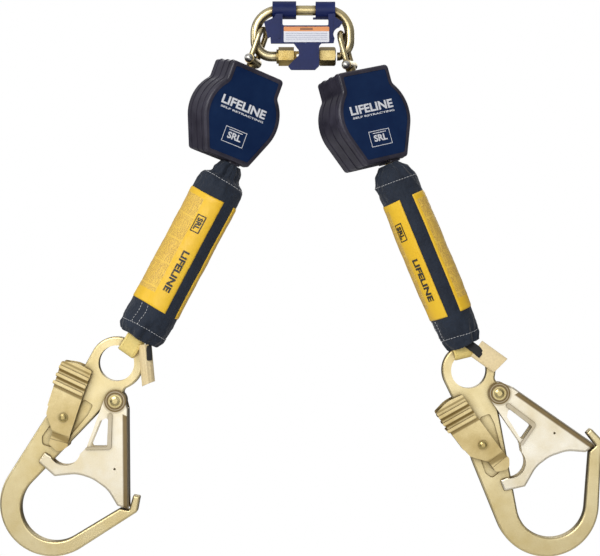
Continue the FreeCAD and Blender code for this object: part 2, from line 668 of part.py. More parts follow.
def make_drum(side, place):
    """Spool: hub, two flanges and two pawl posts, turned about the axle."""
    body = new_body(side + "_drum")
    bore = size["axle_radius"] + size["running_gap"]
    hub, rim = size["drum_hub"], size["drum_flange"]
    profile = outline([(bore, -18.0), (rim, -18.0), (rim, -16.5), (hub, -16.5), (hub, 1.5),
                       (rim, 1.5), (rim, 3.0), (bore, 3.0)])
    revolve(body, "XY_Plane", profile, "Y_Axis")
    posts = [(sign * size["pawl_ring"], 0, "pawl_pin") for sign in (-1, 1)]
    round_pad_y(body, posts, "3", "frame_back")
    lightening = [(*polar((0, 0), 22.5, 60 * hole + 30), "5.2") for hole in range(6)]
    round_pocket_y(body, lightening, "-19", "-16.4")
    axis = place.multiply(Placement(Vector(0, 0, size["drum_height"]), Rotation()))
    keep(body, side + "_drum", axis)
    coil = new_body(side + "_webbing_coil")
    low, high = size["web_centre"] - size["web_half"], size["web_centre"] + size["web_half"]
    edge = [(hub, low), (size["coil_radius"], low), (size["coil_radius"], high), (hub, high)]
    revolve(coil, "XY_Plane", outline(edge), "Y_Axis")
    keep(coil, side + "_webbing_coil", axis)
    for letter, turn in (("a", 0.0), ("b", 180.0)):
        pawl = new_body(f"{side}_pawl_{letter}")
        arm = outline([arc((0, 0), 4.2, 90, 290), (7.0, -4.6, 2.0), (15.5, 1.0, 1.0),
                       (14.6, 5.0, 0.8), (6.0, 3.6, 2.0)])
        pad_y(pawl, arm, "4.3", "frame_back-0.3")
        round_pocket_y(pawl, [(0, 0, "pawl_pin+running_gap")], "4", "frame_back")
        turned = Placement(Vector(0, 0, 0), Rotation(Y_AXIS, turn))
        offset = Placement(Vector(size["pawl_ring"], 0, 0), Rotation(Y_AXIS, 85.0))
        keep(pawl, f"{side}_pawl_{letter}", axis.multiply(turned).multiply(offset))


def make_power_spring(side, place):
    """Flat spiral spring: half turns about two centres in turn, at constant thickness."""
    body = new_body(side + "_power_spring")
    thick, first, half_turns, step = 0.7, 5.2, 14, 1.15
    geometry = []
    for number in range(half_turns):
        centre = (step * (number % 2), 0.0)
        start = 180.0 * (number % 2)
        radius = first + number * step
        geometry.append(edge_arc(centre, radius, start, start + 180.0))
        geometry.append(edge_arc(centre, radius + thick, start, start + 180.0))
    for x in (first, first + half_turns * step):
        geometry.append(Part.LineSegment(Vector(x, 0, 0), Vector(x + thick, 0, 0)))
    pad_y(body, geometry, "9.5", "18")
    keep(body, side + "_power_spring",
         place.multiply(Placement(Vector(0, 0, size["drum_height"]), Rotation())))


def make_nozzle(side, place):
    """Ferrule in the housing's foot that the webbing leaves through."""
    body = new_body(side + "_web_nozzle")
    centre, out = size["web_centre"], size["web_exit"]
    pad_z(body, rectangle(out - 4.9, centre - 10.5, out + 4.9, centre + 10.5, 1.4),
          "house_bottom-2", "house_bottom+4")
    pad_z(body, rectangle(out - 6.4, centre - 12.0, out + 6.4, centre + 12.0, 2.4),
          "house_bottom-2", "house_bottom")
    pocket_z(body, rectangle(out - 1.6, centre - 9.2, out + 1.6, centre + 9.2, 0.6),
             "house_bottom-3", "house_bottom+5")
    keep(body, side + "_web_nozzle", place)


# ---------------------------------------------------------------- lifeline and absorber
def make_lifeline(side, leg, place):
    """The short pulled-out stretch of webbing, from the coil's tangent to the absorber."""
    thick = size["web_thick"]
    drum = size["drum_height"]
    bottom = size["house_bottom"]
    reach = size["coil_radius"] + 0.4
    out = size["web_exit"]
    drop = drum - (bottom + 4)
    lean = math.asin(reach / math.hypot(out, drop)) - math.atan2(out, drop)
    tangent = (reach * math.cos(lean), drum - reach * math.sin(lean))
    cover_top = place.inverse().multVec(leg["cover"])
    middle = thick / 2
    entry = (out, bottom + 4)
    leave = (out, bottom - 3)
    end = (cover_top.x, cover_top.z + 1.2)
    body = new_body(side + "_lifeline_web")
    path = [(tangent[0] + thick, tangent[1]), (entry[0] + middle, entry[1] + 0.4),
            (leave[0] + middle, leave[1]), (end[0] + middle, end[1]), (end[0] - middle, end[1]),
            (leave[0] - middle, leave[1]), (entry[0] - middle, entry[1] + 0.4), tangent]
    pad_y(body, outline(path), "web_centre-web_half+0.4", "web_centre+web_half-0.4")
    keep(body, side + "_lifeline_web", place)


def make_absorber(side, leg):
    """Folded tear webbing in a fabric cover, with its two wrap-round labels."""
    place = place_at(leg["cover"], leg["cover_tilt"], leg["cover_turn"])
    length, radius = size["cover_length"], size["cover_radius"]
    pack = new_body(side + "_absorber_pack")
    pad_z(pack, rectangle(-17.0, -9.0, 17.0, 9.0, 3.0), "-cover_length+40", "-34")
    keep(pack, side + "_absorber_pack", place)
    cover = new_body(side + "_absorber_cover")
    profile = outline([
        (5.0, 0.0), (9.0, 0.0, 2.0), (12.0, -14.0, 12.0), (radius - 1.5, -27.0, 14.0),
        (radius, -60.0), (radius, -length + 40.0), (radius - 3.0, -length + 22.0, 20.0),
        (radius - 6.8, -length, 1.5), (radius - 9.2, -length, 0.8),
        (radius - 9.2, -length + 32.0, 2.0), (radius - 3.0, -length + 36.0, 2.0),
        (radius - 3.0, -32.0, 3.0), (5.0, -26.0)])
    revolve(cover, "XZ_Plane", profile, "Z_Axis")
    keep(cover, side + "_absorber_cover", place)
    make_labels(side, place)


def make_labels(side, place):
    start = -33.0
    halves = []
    for sign in (-1, 1):
        outer = primitive("Cylinder", side + "_label_outer",
                          Placement(Vector(0, 0, start - size["label_length"]),
                                    Rotation(Z_AXIS, sign * 90 - size["label_arc"] / 2)),
                          Radius="cover_radius+0.05+label_thick", Height="label_length",
                          Angle="label_arc")
        inner = cylinder(side + "_label_inner", "cover_radius+0.05", "label_length+2",
                         Vector(0, 0, start - size["label_length"] - 1))
        halves.append(cut(side + "_label", outer, inner))
    keep(compound(side + "_absorber_labels", halves), side + "_absorber_labels", place)


def make_eye_loop(side, leg):
    """Webbing loop through the hook's eye, its sewn tail and the elastic keeper."""
    place = place_at(leg["eye"], leg["eye_tilt"])
    body = new_body(side + "_eye_loop")
    half = 9.0
    outer_y, thick = 9.2, 2.2
    low, high = 12.4, 29.3
    pad_x(body, rectangle(-outer_y, low, outer_y, high, 3.0), f"{-half}", f"{half}")
    inner = sketch_on(body, "YZ_Plane", f"{half + 1}",
                      rectangle(-outer_y + thick, low + thick, outer_y - thick, high - thick, 1.5))
    feature(body, "Pocket", inner, f"{2 * half + 2}")
    pad_x(body, rectangle(-2.4, high - 1.0, 2.4, 41.0, 0.8), f"{-half}", f"{half}")
    keep(body, side + "_eye_loop", place)


# ---------------------------------------------------------------- hook
GATE_PIVOT = (13.4, -34.7)
LEVER_PIVOT = (-27.4, -69.0)
BOWL_CENTRE = (-1.0, -155.0)
BACK_CENTRE = (-5.0, -153.0)


def tangent_angle(centre, radius, point, side):
    """Where on a circle the tangent through an outside point touches; side is +1 or -1."""
    across, up = point[0] - centre[0], point[1] - centre[1]
    spread = math.degrees(math.acos(radius / math.hypot(across, up)))
    return math.degrees(math.atan2(up, across)) + side * spread


def hollow_between(first, first_radius, second, second_radius, hollow):
    """Centre of the hollow corner that joins two discs, on the right of the line between them."""
    across, up = second[0] - first[0], second[1] - first[1]
    gap = math.hypot(across, up)
    one, two = first_radius + hollow, second_radius + hollow
    along = (one ** 2 - two ** 2 + gap ** 2) / (2 * gap)
    aside = math.sqrt(one ** 2 - along ** 2)
    return (first[0] + (across * along - up * aside) / gap,
            first[1] + (up * along + across * aside) / gap)


def hook_outline():
    """Eye ring, shank, bowl and upturned nose in one forged outline."""
    ring, lug, hollow = size["eye_outer"], 10.4, 5.0
    bowl, back = size["bowl_radius"], size["bowl_back"]
    crotch = (5.6, -44.5)
    shoulder = (-31.5, -44.0)
    heel = (-44.4, -76.0)
    seat = (58.6, -131.4)
    tip = (75.6, -128.0)
    joint = hollow_between((0, 0), ring, GATE_PIVOT, lug, hollow)
    ring_end = math.degrees(math.atan2(joint[1], joint[0]))
    lug_start = math.degrees(math.atan2(joint[1] - GATE_PIVOT[1], joint[0] - GATE_PIVOT[0]))
    return outline([
        arc((0, 0), ring, tangent_angle((0, 0), ring, shoulder, -1) + 360, ring_end),
        arc(joint, hollow, ring_end + 180, lug_start + 180),
        arc(GATE_PIVOT, lug, lug_start, -112), (*crotch, 1.0),
        arc(BOWL_CENTRE, bowl, tangent_angle(BOWL_CENTRE, bowl, crotch, 1),
            tangent_angle(BOWL_CENTRE, bowl, seat, -1) + 360), (*seat, 2.0),
        (67.3, -129.6, 0.8), (65.6, -114.4, 1.2), (72.4, -112.9, 1.5), (*tip, 4.0),
        arc(BACK_CENTRE, back, tangent_angle(BACK_CENTRE, back, tip, -1),
            tangent_angle(BACK_CENTRE, back, heel, 1) - 360), (*heel, 30.0), (*shoulder, 12.0)])


def make_hook_body(side, place):
    body = new_body(side + "_hook_body")
    pad_y(body, hook_outline(), "-hook_half", "hook_half")
    half = size["hook_half"]
    dress(body, "Fillet", 2.0, lambda edge: at_depth(edge, -half) or at_depth(edge, half))
    round_pocket_y(body, [(0, 0, "eye_radius")], "-hook_half-1", "hook_half+1")
    pocket = [(-15.0, -45.0, 3.0), (-5.2, -47.0, 2.5), (-6.2, -58.0, 3.0), (-15.5, -88.0, 6.0),
              (-27.0, -101.5, 8.0), (-37.0, -102.5, 3.5), (-40.2, -95.0, 4.0),
              (-35.0, -72.0, 8.0)]
    pocket_y(body, outline(pocket), "-hook_half-1", "-hook_half+1.5")
    pocket_y(body, outline(pocket), "hook_half-1.5", "hook_half+1")
    round_pocket_y(body, [(*GATE_PIVOT, "7.4")], "-hook_half-1", "-hook_half+5")
    round_pocket_y(body, [(*GATE_PIVOT, "rivet_radius")], "-hook_half-1", "hook_half+1")
    round_pocket_y(body, [(*LEVER_PIVOT, "5.6")], "-hook_half-1", "-hook_half+4.2")
    round_pocket_y(body, [(*LEVER_PIVOT, "lever_rivet")], "-hook_half-1", "hook_half+1")
    keep(body, side + "_hook_body", place)


def make_rivets(side, place):
    """The gate's and the lever's rivets, each with a washer and a peened head at both ends."""
    gate_reach = size["gate_inner"] + size["gate_sheet"] + size["gate_boss"] + 0.3
    lever_reach = size["lever_inner"] + size["lever_sheet"] + 0.3
    rivets = []
    for (x, z), radius, reach, washer, head in (
            (GATE_PIVOT, "rivet_radius", gate_reach, 6.6, 4.6),
            (LEVER_PIVOT, "lever_rivet", lever_reach, 4.4, 3.4)):
        solids = [cylinder(side + "_rivet_shank", radius, 2 * reach, Vector(x, -reach, z), Y_AXIS)]
        for sign in (-1, 1):
            facing = Vector(0, sign, 0)
            solids.append(cylinder(side + "_rivet_washer", washer, 0.7,
                                   Vector(x, sign * reach, z), facing))
            solids.append(cylinder(side + "_rivet_head", head, 1.4,
                                   Vector(x, sign * reach, z), facing))
            solids.append(primitive(
                "Cone", side + "_rivet_dome",
                Placement(Vector(x, sign * (reach + 1.4), z), Rotation(Z_AXIS, facing)),
                Radius1=head, Radius2=0.55 * head, Height=0.7))
        rivets.append(fuse(side + "_rivet", solids))
    keep(compound(side + "_hook_rivets", rivets), side + "_hook_rivets", place)


def make_hook_gate(side, place):
    """Folded sheet gate: two cheeks either side of the hook, joined by a rounded spine."""
    body = new_body(side + "_hook_gate")
    notch = arc((-14.0, -98.5), 15.6, 222, 368)
    cheek = [
        arc(GATE_PIVOT, 10.8, 180, 22), (28.4, -37.2, 1.5), (67.2, -128.4, 1.0),
        (55.0, -129.6, 2.0), (40.0, -118.6, 30.0), (22.0, -114.6, 30.0), (6.0, -116.0, 30.0),
        (-13.6, -126.6, 2.0), (-33.8, -119.6, 2.5), (-31.5, -108.0, 1.5), notch,
        (5.0, -88.0, 2.0)]
    hollow = [(-50.0, -20.0), (30.0, -20.0), (30.0, -36.7), (25.6, -36.7), (61.8, -121.4),
              (70.0, -121.4), (70.0, -135.0), (-50.0, -135.0)]
    window = [(7.6, -86.6, 2.5), (23.6, -79.8, 2.5), (13.2, -52.0, 2.0), (7.4, -58.5, 2.0)]
    rim = [(3.6, -90.8, 1.0), (28.2, -80.2, 3.0), (15.6, -47.4, 1.0), (12.2, -48.8, 1.0),
           (23.6, -79.8, 1.5), (4.8, -87.8, 1.0)]
    outer = size["gate_inner"] + size["gate_sheet"]
    pad_y(body, outline(cheek), f"{-outer}", f"{outer}")
    dress(body, "Fillet", 2.1, lambda edge: edge.Length > 80 and (
        at_depth(edge, -outer) or at_depth(edge, outer)))
    pocket_y(body, outline(hollow), "-gate_inner", "gate_inner")
    pocket_y(body, outline(window), "-15", "15")
    boss = [(*GATE_PIVOT, "9.2")]
    for sign in (-1, 1):
        front, back = sorted((sign * (outer - 0.3), sign * (outer + size["gate_rim"])))
        pad_y(body, outline(rim), f"{front}", f"{back}")
        front, back = sorted((sign * (outer - 0.3), sign * (outer + size["gate_boss"])))
        round_pad_y(body, boss, f"{front}", f"{back}")
    holes = [(*GATE_PIVOT, "rivet_radius+running_gap"), (38.8, -97.0, "1.2")]
    round_pocket_y(body, holes, "-15", "15")
    keep(body, side + "_hook_gate", place)


def make_lever(side, place):
    """Folded sheet lever: two cheeks either side of the shank and a ribbed thumb pad."""
    body = new_body(side + "_lock_lever")
    cheek = outline([
        (-50.2, -18.0, 2.0), (-35.0, -14.0, 30.0), (-18.6, -16.0, 2.0), (-17.6, -42.0, 6.0),
        (-14.6, -82.0, 3.0), (-12.4, -94.0, 4.0), (-18.0, -103.0, 6.0), (-30.6, -98.6, 3.0),
        (-31.6, -86.0, 3.0), (-44.4, -72.0, 6.0)])
    inner, outer = "lever_inner", "lever_inner+lever_sheet"
    for front, back in ((f"-({outer})", f"-({inner})"), (inner, outer)):
        pad_y(body, cheek, front, back)
    pad = outline([(-50.2, -20.0), (-48.4, -20.0), (-44.6, -64.0), (-46.3, -64.0)])
    pad_y(body, pad, f"-({outer})", outer)
    for level in (-22.0, -30.0, -38.0):
        rib = outline([(-50.6, level, 1.0), (-18.4, level - 1.5, 1.0),
                       (-18.6, level - 5.0, 1.0), (-50.2, level - 3.5, 1.0)])
        for front, back in ((f"-({outer})-lever_rib", f"-({outer})+0.2"),
                            (f"{outer}-0.2", f"{outer}+lever_rib")):
            pad_y(body, rib, front, back)
    waist = outline([(-32.2, -86.5), (-14.0, -84.0), (-13.2, -91.0), (-32.0, -93.5)])
    pocket_y(body, waist, f"-({outer})-1", f"-({outer})+0.6")
    pocket_y(body, waist, f"{outer}-0.6", f"{outer}+1")
    round_pocket_y(body, [(*LEVER_PIVOT, "lever_rivet+running_gap")], "-15", "15")
    keep(body, side + "_lock_lever", place)


def make_coil_spring(name, place, spot, depth, radius, wire):
    """A torsion spring of two touching turns round a rivet, with a short leg at each end."""
    x, z = spot
    pitch = 1.9 * wire
    solids = []
    for turn, sign in ((0, -1), (1, 1)):
        centre = Vector(x, depth + turn * pitch, z)
        solids.append(primitive("Torus", name + "_turn", Placement(centre, Rotation(Z_AXIS, Y_AXIS)),
                                Radius1=radius, Radius2=wire))
        solids.append(cylinder(name + "_leg", wire, 0.6 * radius, centre + Vector(sign * radius, 0, 0),
                               Vector(0, 0, -1)))
    keep(fuse(name, solids), name, place)


def make_hook(side, leg):
    place = place_at(leg["eye"], leg["hook_tilt"])
    make_hook_body(side, place)
    make_rivets(side, place)
    make_hook_gate(side, place)
    make_lever(side, place)
    front = -size["hook_half"]
    make_coil_spring(side + "_gate_spring", place, GATE_PIVOT, front + 0.9, 5.4, 0.7)
    make_coil_spring(side + "_lever_spring", place, LEVER_PIVOT, front + 0.7, 4.0, 0.55)


def make_leg(side):
    leg = LEGS[side]
    housing = place_at(leg["pin"], leg["tilt"], leg["swivel"])
    make_shackle(side, leg)
    make_stud(side, leg)
    for make in (make_front_shell, make_rear_shell, make_face_plate, make_load_frame,
                 make_axle_and_screws, make_drum, make_power_spring, make_nozzle):
        make(side, housing)
    make_lifeline(side, leg, housing)
    make_absorber(side, leg)
    make_eye_loop(side, leg)
    make_hook(side, leg)


make_link()
make_hinge_collar()
make_gate()
make_lock_sleeve()
make_keeper()
for leg_side in SIDES:
    make_leg(leg_side)
doc.recompute()

faults = [item.Name for item in doc.Objects if {"Invalid", "Error"} & set(item.State)]
for item in pieces:
    if item.Shape.isNull() or not item.Shape.isValid():
        faults.append(item.Label)
if faults:
    raise RuntimeError("failed objects: " + ", ".join(faults))

os.makedirs("parts", exist_ok=True)
for item in pieces:
    item.Shape.exportStep(f"parts/{item.Label}.step")
    print(f"{item.Label}: {len(item.Shape.Solids)} solid, {item.Shape.Volume:.0f} mm3")
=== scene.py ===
import math
import random

import bmesh
import bpy
from mathutils import Matrix, Vector, noise


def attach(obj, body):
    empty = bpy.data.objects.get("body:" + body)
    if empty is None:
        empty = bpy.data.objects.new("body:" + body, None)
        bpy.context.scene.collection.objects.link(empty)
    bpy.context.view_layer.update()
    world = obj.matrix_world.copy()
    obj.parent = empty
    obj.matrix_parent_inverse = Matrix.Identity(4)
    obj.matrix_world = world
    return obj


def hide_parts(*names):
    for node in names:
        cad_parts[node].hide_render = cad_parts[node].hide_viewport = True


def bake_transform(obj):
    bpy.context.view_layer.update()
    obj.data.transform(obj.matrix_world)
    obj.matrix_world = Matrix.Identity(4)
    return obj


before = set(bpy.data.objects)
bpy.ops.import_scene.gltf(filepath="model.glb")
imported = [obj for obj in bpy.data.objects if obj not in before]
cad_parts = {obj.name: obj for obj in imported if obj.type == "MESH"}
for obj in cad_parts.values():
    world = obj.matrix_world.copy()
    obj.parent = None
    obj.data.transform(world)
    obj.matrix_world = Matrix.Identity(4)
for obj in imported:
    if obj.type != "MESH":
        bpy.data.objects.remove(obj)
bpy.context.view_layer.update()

MM = 0.001
SIDES = ("left", "right")

# Where the pieces of each leg lie, in millimetres and degrees, as in the design.
LEGS = {
    "left": {
        "pin": (-49.34, 0, -50.44), "tilt": 20.0, "swivel": 28.0,
        "cover": (-72.5, -9.0, -158.5), "cover_tilt": 28.0, "cover_turn": -47.0,
        "eye": (-184.3, -9.0, -351.9), "eye_lean": 35.0, "eye_aside": 1.5,
        "hook_tilt": 22.6,
        "neck": [(-5, 8.0), (0, 11.5), (4, 13.4), (8, 13.0), (10.5, 14.8), (13, 19.0),
                 (17, 22.3), (23, 23.8), (36, 24.6)],
        "cuff": [(150, 24.7), (166, 25.0), (175, 24.6), (180, 23.7), (185, 22.4), (190, 19.4)],
        "gather": 1.9, "bunch": 2.5, "seed": 3,
    },
    "right": {
        "pin": (47.06, 0, -54.77), "tilt": -15.0, "swivel": 28.0,
        "cover": (87.5, -9.0, -158.5), "cover_tilt": -22.5, "cover_turn": -88.0,
        "eye": (164.7, -9.0, -359.1), "eye_lean": -13.6, "eye_aside": 0.0,
        "hook_tilt": -32.0,
        "neck": [(-5, 8.2), (-1, 11.5), (3, 15.5), (8, 19.0), (13, 21.2), (19, 22.6),
                 (27, 23.2), (36, 23.4)],
        "cuff": [(150, 23.8), (164, 23.4), (172, 22.2), (179, 20.2), (183, 19.6), (190, 17.0)],
        "gather": 1.3, "bunch": 2.1, "seed": 8,
    },
}
COVER_LENGTH = 190.0
COVER_RADIUS = 24.2
NECK_TOP = -4.5
HEM_LINE = COVER_LENGTH - 11.0
SHOULDER_LINE = 14
SEAM_ANGLE = math.radians(-66)
LABEL_TOP = 33
LABEL_LENGTH = 123.0
LABEL_WIDTH = 63.5
LABEL_HALF_ARC = 1.31
# Generic print of a label in millimetres. Frame bars: left, right, top, bottom.
LABEL_FRAME = [(15.5, 24.5, 21.0, 22.0), (15.5, 24.5, 38.5, 39.5), (15.5, 16.5, 22.0, 38.5),
               (23.5, 24.5, 22.0, 38.5)]
# Words: text, left, top, size across the label, size along it.
LABEL_WORDS = [("SRL", 17.4, 24.0, 5.2, 12.8), ("LIFELINE", 19.8, 60.0, 6.2, 44.0)]

# The tail of webbing at each hook and the elastic round it; spread is (across, rise) pairs.
TAILS = {
    "left": {
        "top": (-155.5, -20.0, -333.0), "down": (0.10, -0.05, -1.0), "length": 39.0, "skew": 4.0,
        "spread": [(-6.4, 3.0), (-3.4, -1.2), (0.0, -3.4), (3.4, 0.4), (7.0, 5.4)],
        "elastic": [(-152.6, -19.0, -330.0), (-151.4, -23.2, -335.0), (-150.6, -25.6, -341.0),
                    (-150.4, -25.6, -348.5)],
        "elastic_width": 5.6, "elastic_way": (1, 0.3, 0),
    },
    "right": {
        "top": (171.5, -20.5, -337.0), "down": (0.80, -0.10, -0.58), "length": 29.0, "skew": -3.0,
        "spread": [(-9.6, 1.0), (-5.0, -0.4), (0.0, -0.9), (5.0, -0.3), (9.6, 1.4)],
        "elastic": [(160.0, -17.0, -330.0), (165.0, -21.0, -333.5), (171.0, -23.6, -338.0),
                    (176.5, -24.2, -343.0)],
        "elastic_width": 9.0, "elastic_way": (0.45, 0.1, 0.9),
    },
}


def place_at(origin, tilt, turn=0.0):
    """Local millimetres to world metres: moved, leaned in the XZ plane, turned about local Z."""
    return (Matrix.Translation(Vector(origin) * MM)
            @ Matrix.Rotation(math.radians(tilt), 4, "Y")
            @ Matrix.Rotation(math.radians(turn), 4, "Z") @ Matrix.Scale(MM, 4))


def smooth(low, high, value):
    t = min(1.0, max(0.0, (value - low) / (high - low)))
    return t * t * (3 - 2 * t)


def along(table, value):
    """Straight runs through the (position, value) pairs of a table."""
    if value <= table[0][0]:
        return table[0][1]
    for (near, first), (far, second) in zip(table, table[1:]):
        if value <= far:
            return first + (second - first) * (value - near) / (far - near)
    return table[-1][1]


# ---------------------------------------------------------------- materials
class Shader:
    """Small helper that adds and links nodes of one material."""

    def __init__(self, name):
        self.material = bpy.data.materials.new(name)
        self.material.use_nodes = True
        self.nodes = self.material.node_tree.nodes
        self.links = self.material.node_tree.links
        self.bsdf = self.nodes["Principled BSDF"]

    def add(self, kind, inputs=None, **settings):
        node = self.nodes.new("ShaderNode" + kind)
        for key, value in settings.items():
            setattr(node, key, value)
        for key, value in (inputs or {}).items():
            self.put(node.inputs[key], value)
        return node

    def put(self, socket, value):
        if isinstance(value, bpy.types.NodeSocket):
            self.links.new(value, socket)
        elif isinstance(value, (tuple, list)) and socket.type == "RGBA":
            socket.default_value = (*value[:3], 1.0)
        else:
            socket.default_value = value

    def set(self, **values):
        for key, value in values.items():
            self.put(self.bsdf.inputs[key.replace("_", " ")], value)

    def coords(self, kind="Object", scale=(1, 1, 1), turn=(0, 0, 0), shift=(0, 0, 0)):
        source = self.add("TexCoord").outputs[kind]
        return self.add("Mapping", {"Vector": source, "Scale": scale, "Rotation": turn,
                                    "Location": shift}).outputs[0]

    def noise(self, vector, scale, detail=3.0, rough=0.5):
        return self.add("TexNoise", {"Vector": vector, "Scale": scale, "Detail": detail,
                                     "Roughness": rough}).outputs["Fac"]

    def ramp(self, factor, *stops):
        node = self.add("ValToRGB", {"Fac": factor})
        bands = node.color_ramp.elements
        while len(bands) < len(stops):
            bands.new(0.5)
        for band, (position, colour) in zip(bands, stops):
            band.position = position
            band.color = (*((colour,) * 3 if isinstance(colour, float) else colour), 1)
        return node.outputs["Color"]

    def mix(self, factor, first, second, blend="MIX"):
        node = self.add("Mix", data_type="RGBA", blend_type=blend)
        self.put(node.inputs[0], factor)
        self.put(node.inputs[6], first)
        self.put(node.inputs[7], second)
        return node.outputs[2]

    def math(self, operation, first, second=0.0, third=0.0):
        node = self.add("Math", operation=operation)
        for socket, value in zip(node.inputs, (first, second, third)):
            self.put(socket, value)
        return node.outputs[0]

    def inside(self, value, low, high):
        """1 where low < value < high."""
        return self.math("MULTIPLY", self.math("GREATER_THAN", value, low),
                         self.math("LESS_THAN", value, high))

    def bump(self, height, distance, strength=1.0):
        node = self.add("Bump", {"Height": height, "Distance": distance,
                                 "Strength": strength})
        if self.bsdf.inputs["Normal"].is_linked:
            self.put(node.inputs["Normal"], self.bsdf.inputs["Normal"].links[0].from_socket)
        self.put(self.bsdf.inputs["Normal"], node.outputs[0])


def plated(name, pale, deep, rough, patchy=0.5, grain=(1, 1, 1), marks=None):
    """Zinc plated steel: drift from pale to deep gold, fine grain, and painted shade in crevices and
    on faces turned side-on.
    """
    s = Shader(name)
    spot = s.coords()
    drift = s.noise(spot, 32, 4, 0.6)
    fine = s.noise(s.coords(scale=grain), 900, 3, 0.6)
    # Tone of the painted shade in crevices.
    dark = [c * k for c, k in zip(deep, (0.17, 0.13, 0.08))]
    colour = s.mix(s.ramp(drift, (0.5 - patchy * 0.3, 0.0), (0.5 + patchy * 0.3, 1.0)),
                   pale, deep)
    colour = s.mix(s.ramp(fine, (0.35, 0.75), (0.7, 1.0)), [c * 0.8 for c in deep], colour)
    # Painted shade: faces turned side-on to the flat faces (normal away from Y) are darkened towards
    # deep gold.
    facing = s.add("SeparateXYZ", {"Vector": s.add("NewGeometry").outputs["Normal"]}).outputs[1]
    painted_side_shade = s.ramp(s.math("ABSOLUTE", facing), (0.25, 0.8), (0.75, 0.0))
    colour = s.mix(painted_side_shade, colour, [c * 0.36 for c in deep])
    # Dark marks given per part: on the gate partly painted shadow round the rivet, on the lever
    # painted shade in the rib hollows.
    if marks:
        colour = s.mix(marks(s), colour, (0.15, 0.09, 0.015))
    # Painted shade in crevices and between parts, taken from ambient occlusion.
    open_air = s.add("AmbientOcclusion", {"Distance": 0.010}, samples=6).outputs["AO"]
    colour = s.mix(s.ramp(open_air, (0.5, 0.95), (0.95, 0.0)), colour, dark)
    s.set(Base_Color=colour, Metallic=0.92,
          Roughness=s.ramp(s.mix(0.4, drift, fine), (0.3, rough), (0.75, rough + 0.16)))
    s.bump(s.mix(0.6, fine, s.noise(spot, 260, 2)), 0.0001, 0.25)
    return s.material


def hook_millimetres(s, side):
    """X, Y and Z of the surface in the hook's own frame, in millimetres."""
    lean = math.radians(-LEGS[side]["hook_tilt"])
    shift = Matrix.Rotation(lean, 3, "Y") @ -Vector(LEGS[side]["eye"])
    split = s.add("SeparateXYZ", {"Vector": s.coords(scale=(1 / MM,) * 3, turn=(0, lean, 0),
                                                     shift=shift)})
    return split.outputs


def soft_band(s, value, middle, half):
    """1 at the middle of a band, falling to 0 at its edges."""
    off = s.math("ABSOLUTE", s.math("SUBTRACT", value, middle))
    return s.ramp(s.math("DIVIDE", off, half), (0.55, 1.0), (1.0, 0.0))


def gate_marks_and_rivet_shadow(side):
    """Dark folded spine along the gate's outer edge, and round its rivet a dark disc with turned
    rings, partly the olive boss and partly painted shadow.
    """
    def marks(s):
        x, y, z = hook_millimetres(s, side)
        across = s.math("ADD", s.math("MULTIPLY", s.math("SUBTRACT", x, 28.4), 0.92),
                        s.math("MULTIPLY", s.math("ADD", z, 37.2), 0.391))
        spine = s.math("MULTIPLY", soft_band(s, across, -3.2, 3.0),
                       s.math("LESS_THAN", z, -44.0))
        far = s.math("SQRT", s.math("ADD", s.math("POWER", s.math("SUBTRACT", x, 13.4), 2.0),
                                    s.math("POWER", s.math("ADD", z, 34.7), 2.0)))
        rings = s.math("MULTIPLY_ADD", s.math("SINE", s.math("MULTIPLY", far, 2.6)), 0.2, 0.8)
        # The disc is the dark olive rivet boss with its rings, widened by painted shadow round the
        # rivet.
        disc = s.math("MULTIPLY", s.ramp(s.math("DIVIDE", far, 13.0), (0.8, 1.0), (1.0, 0.0)),
                      rings)
        rim = s.math("MULTIPLY", s.math("GREATER_THAN", s.math("ABSOLUTE", y), 9.35), 0.45)
        return s.math("MAXIMUM", s.math("MAXIMUM", s.math("MULTIPLY", spine, 0.9), disc), rim)
    return marks


def lever_rib_shade_and_waist_band(side):
    """Painted shade in the hollows between the thumb ribs, and a dark band at the lever's waist."""
    def marks(s):
        x, _, z = hook_millimetres(s, side)
        level = s.math("ADD", z, s.math("MULTIPLY", x, 0.05))
        # The first four rows are painted shade in the rib hollows; the last is the dark band at the
        # waist.
        rows = [s.math("MULTIPLY", soft_band(s, level, middle, half), strength)
                for middle, half, strength in ((-28.9, 2.0, 0.85), (-36.9, 2.0, 0.85),
                                               (-45.2, 2.4, 0.7), (-20.6, 1.4, 0.6),
                                               (-89.0, 3.6, 0.6))]
        total = rows[0]
        for row in rows[1:]:
            total = s.math("MAXIMUM", total, row)
        return total
    return marks


def steel(name, colour, rough, line=(1, 1, 1)):
    s = Shader(name)
    drift = s.noise(s.coords(), 60, 3)
    brushed = s.noise(s.coords(scale=line), 700, 2)
    s.set(Base_Color=s.mix(drift, colour, [c * 0.72 for c in colour]), Metallic=1.0,
          Roughness=s.ramp(brushed, (0.3, rough), (0.7, rough + 0.14)))
    s.bump(brushed, 0.00004, 0.3)
    return s.material


def moulded(name, colour, light, rough, grain, coat=0.0, depth=0.00006, shine=0.5):
    """Moulded plastic with a spark-eroded grain and random patches of a second tone."""
    s = Shader(name)
    spot = s.coords()
    texture = s.add("TexVoronoi", {"Vector": spot, "Scale": grain}).outputs["Distance"]
    # Random patches that move the colour towards the second tone and raise the roughness a little.
    mottle = s.noise(spot, 45, 5, 0.65)
    s.set(Base_Color=s.mix(s.ramp(mottle, (0.35, 0.0), (0.8, 1.0)), colour, light),
          Roughness=s.ramp(mottle, (0.3, rough), (0.8, rough + 0.12)), Coat_Weight=coat,
          Coat_Roughness=0.12, Specular_IOR_Level=shine)
    s.bump(s.mix(0.5, texture, mottle), depth, 0.5)
    return s.material


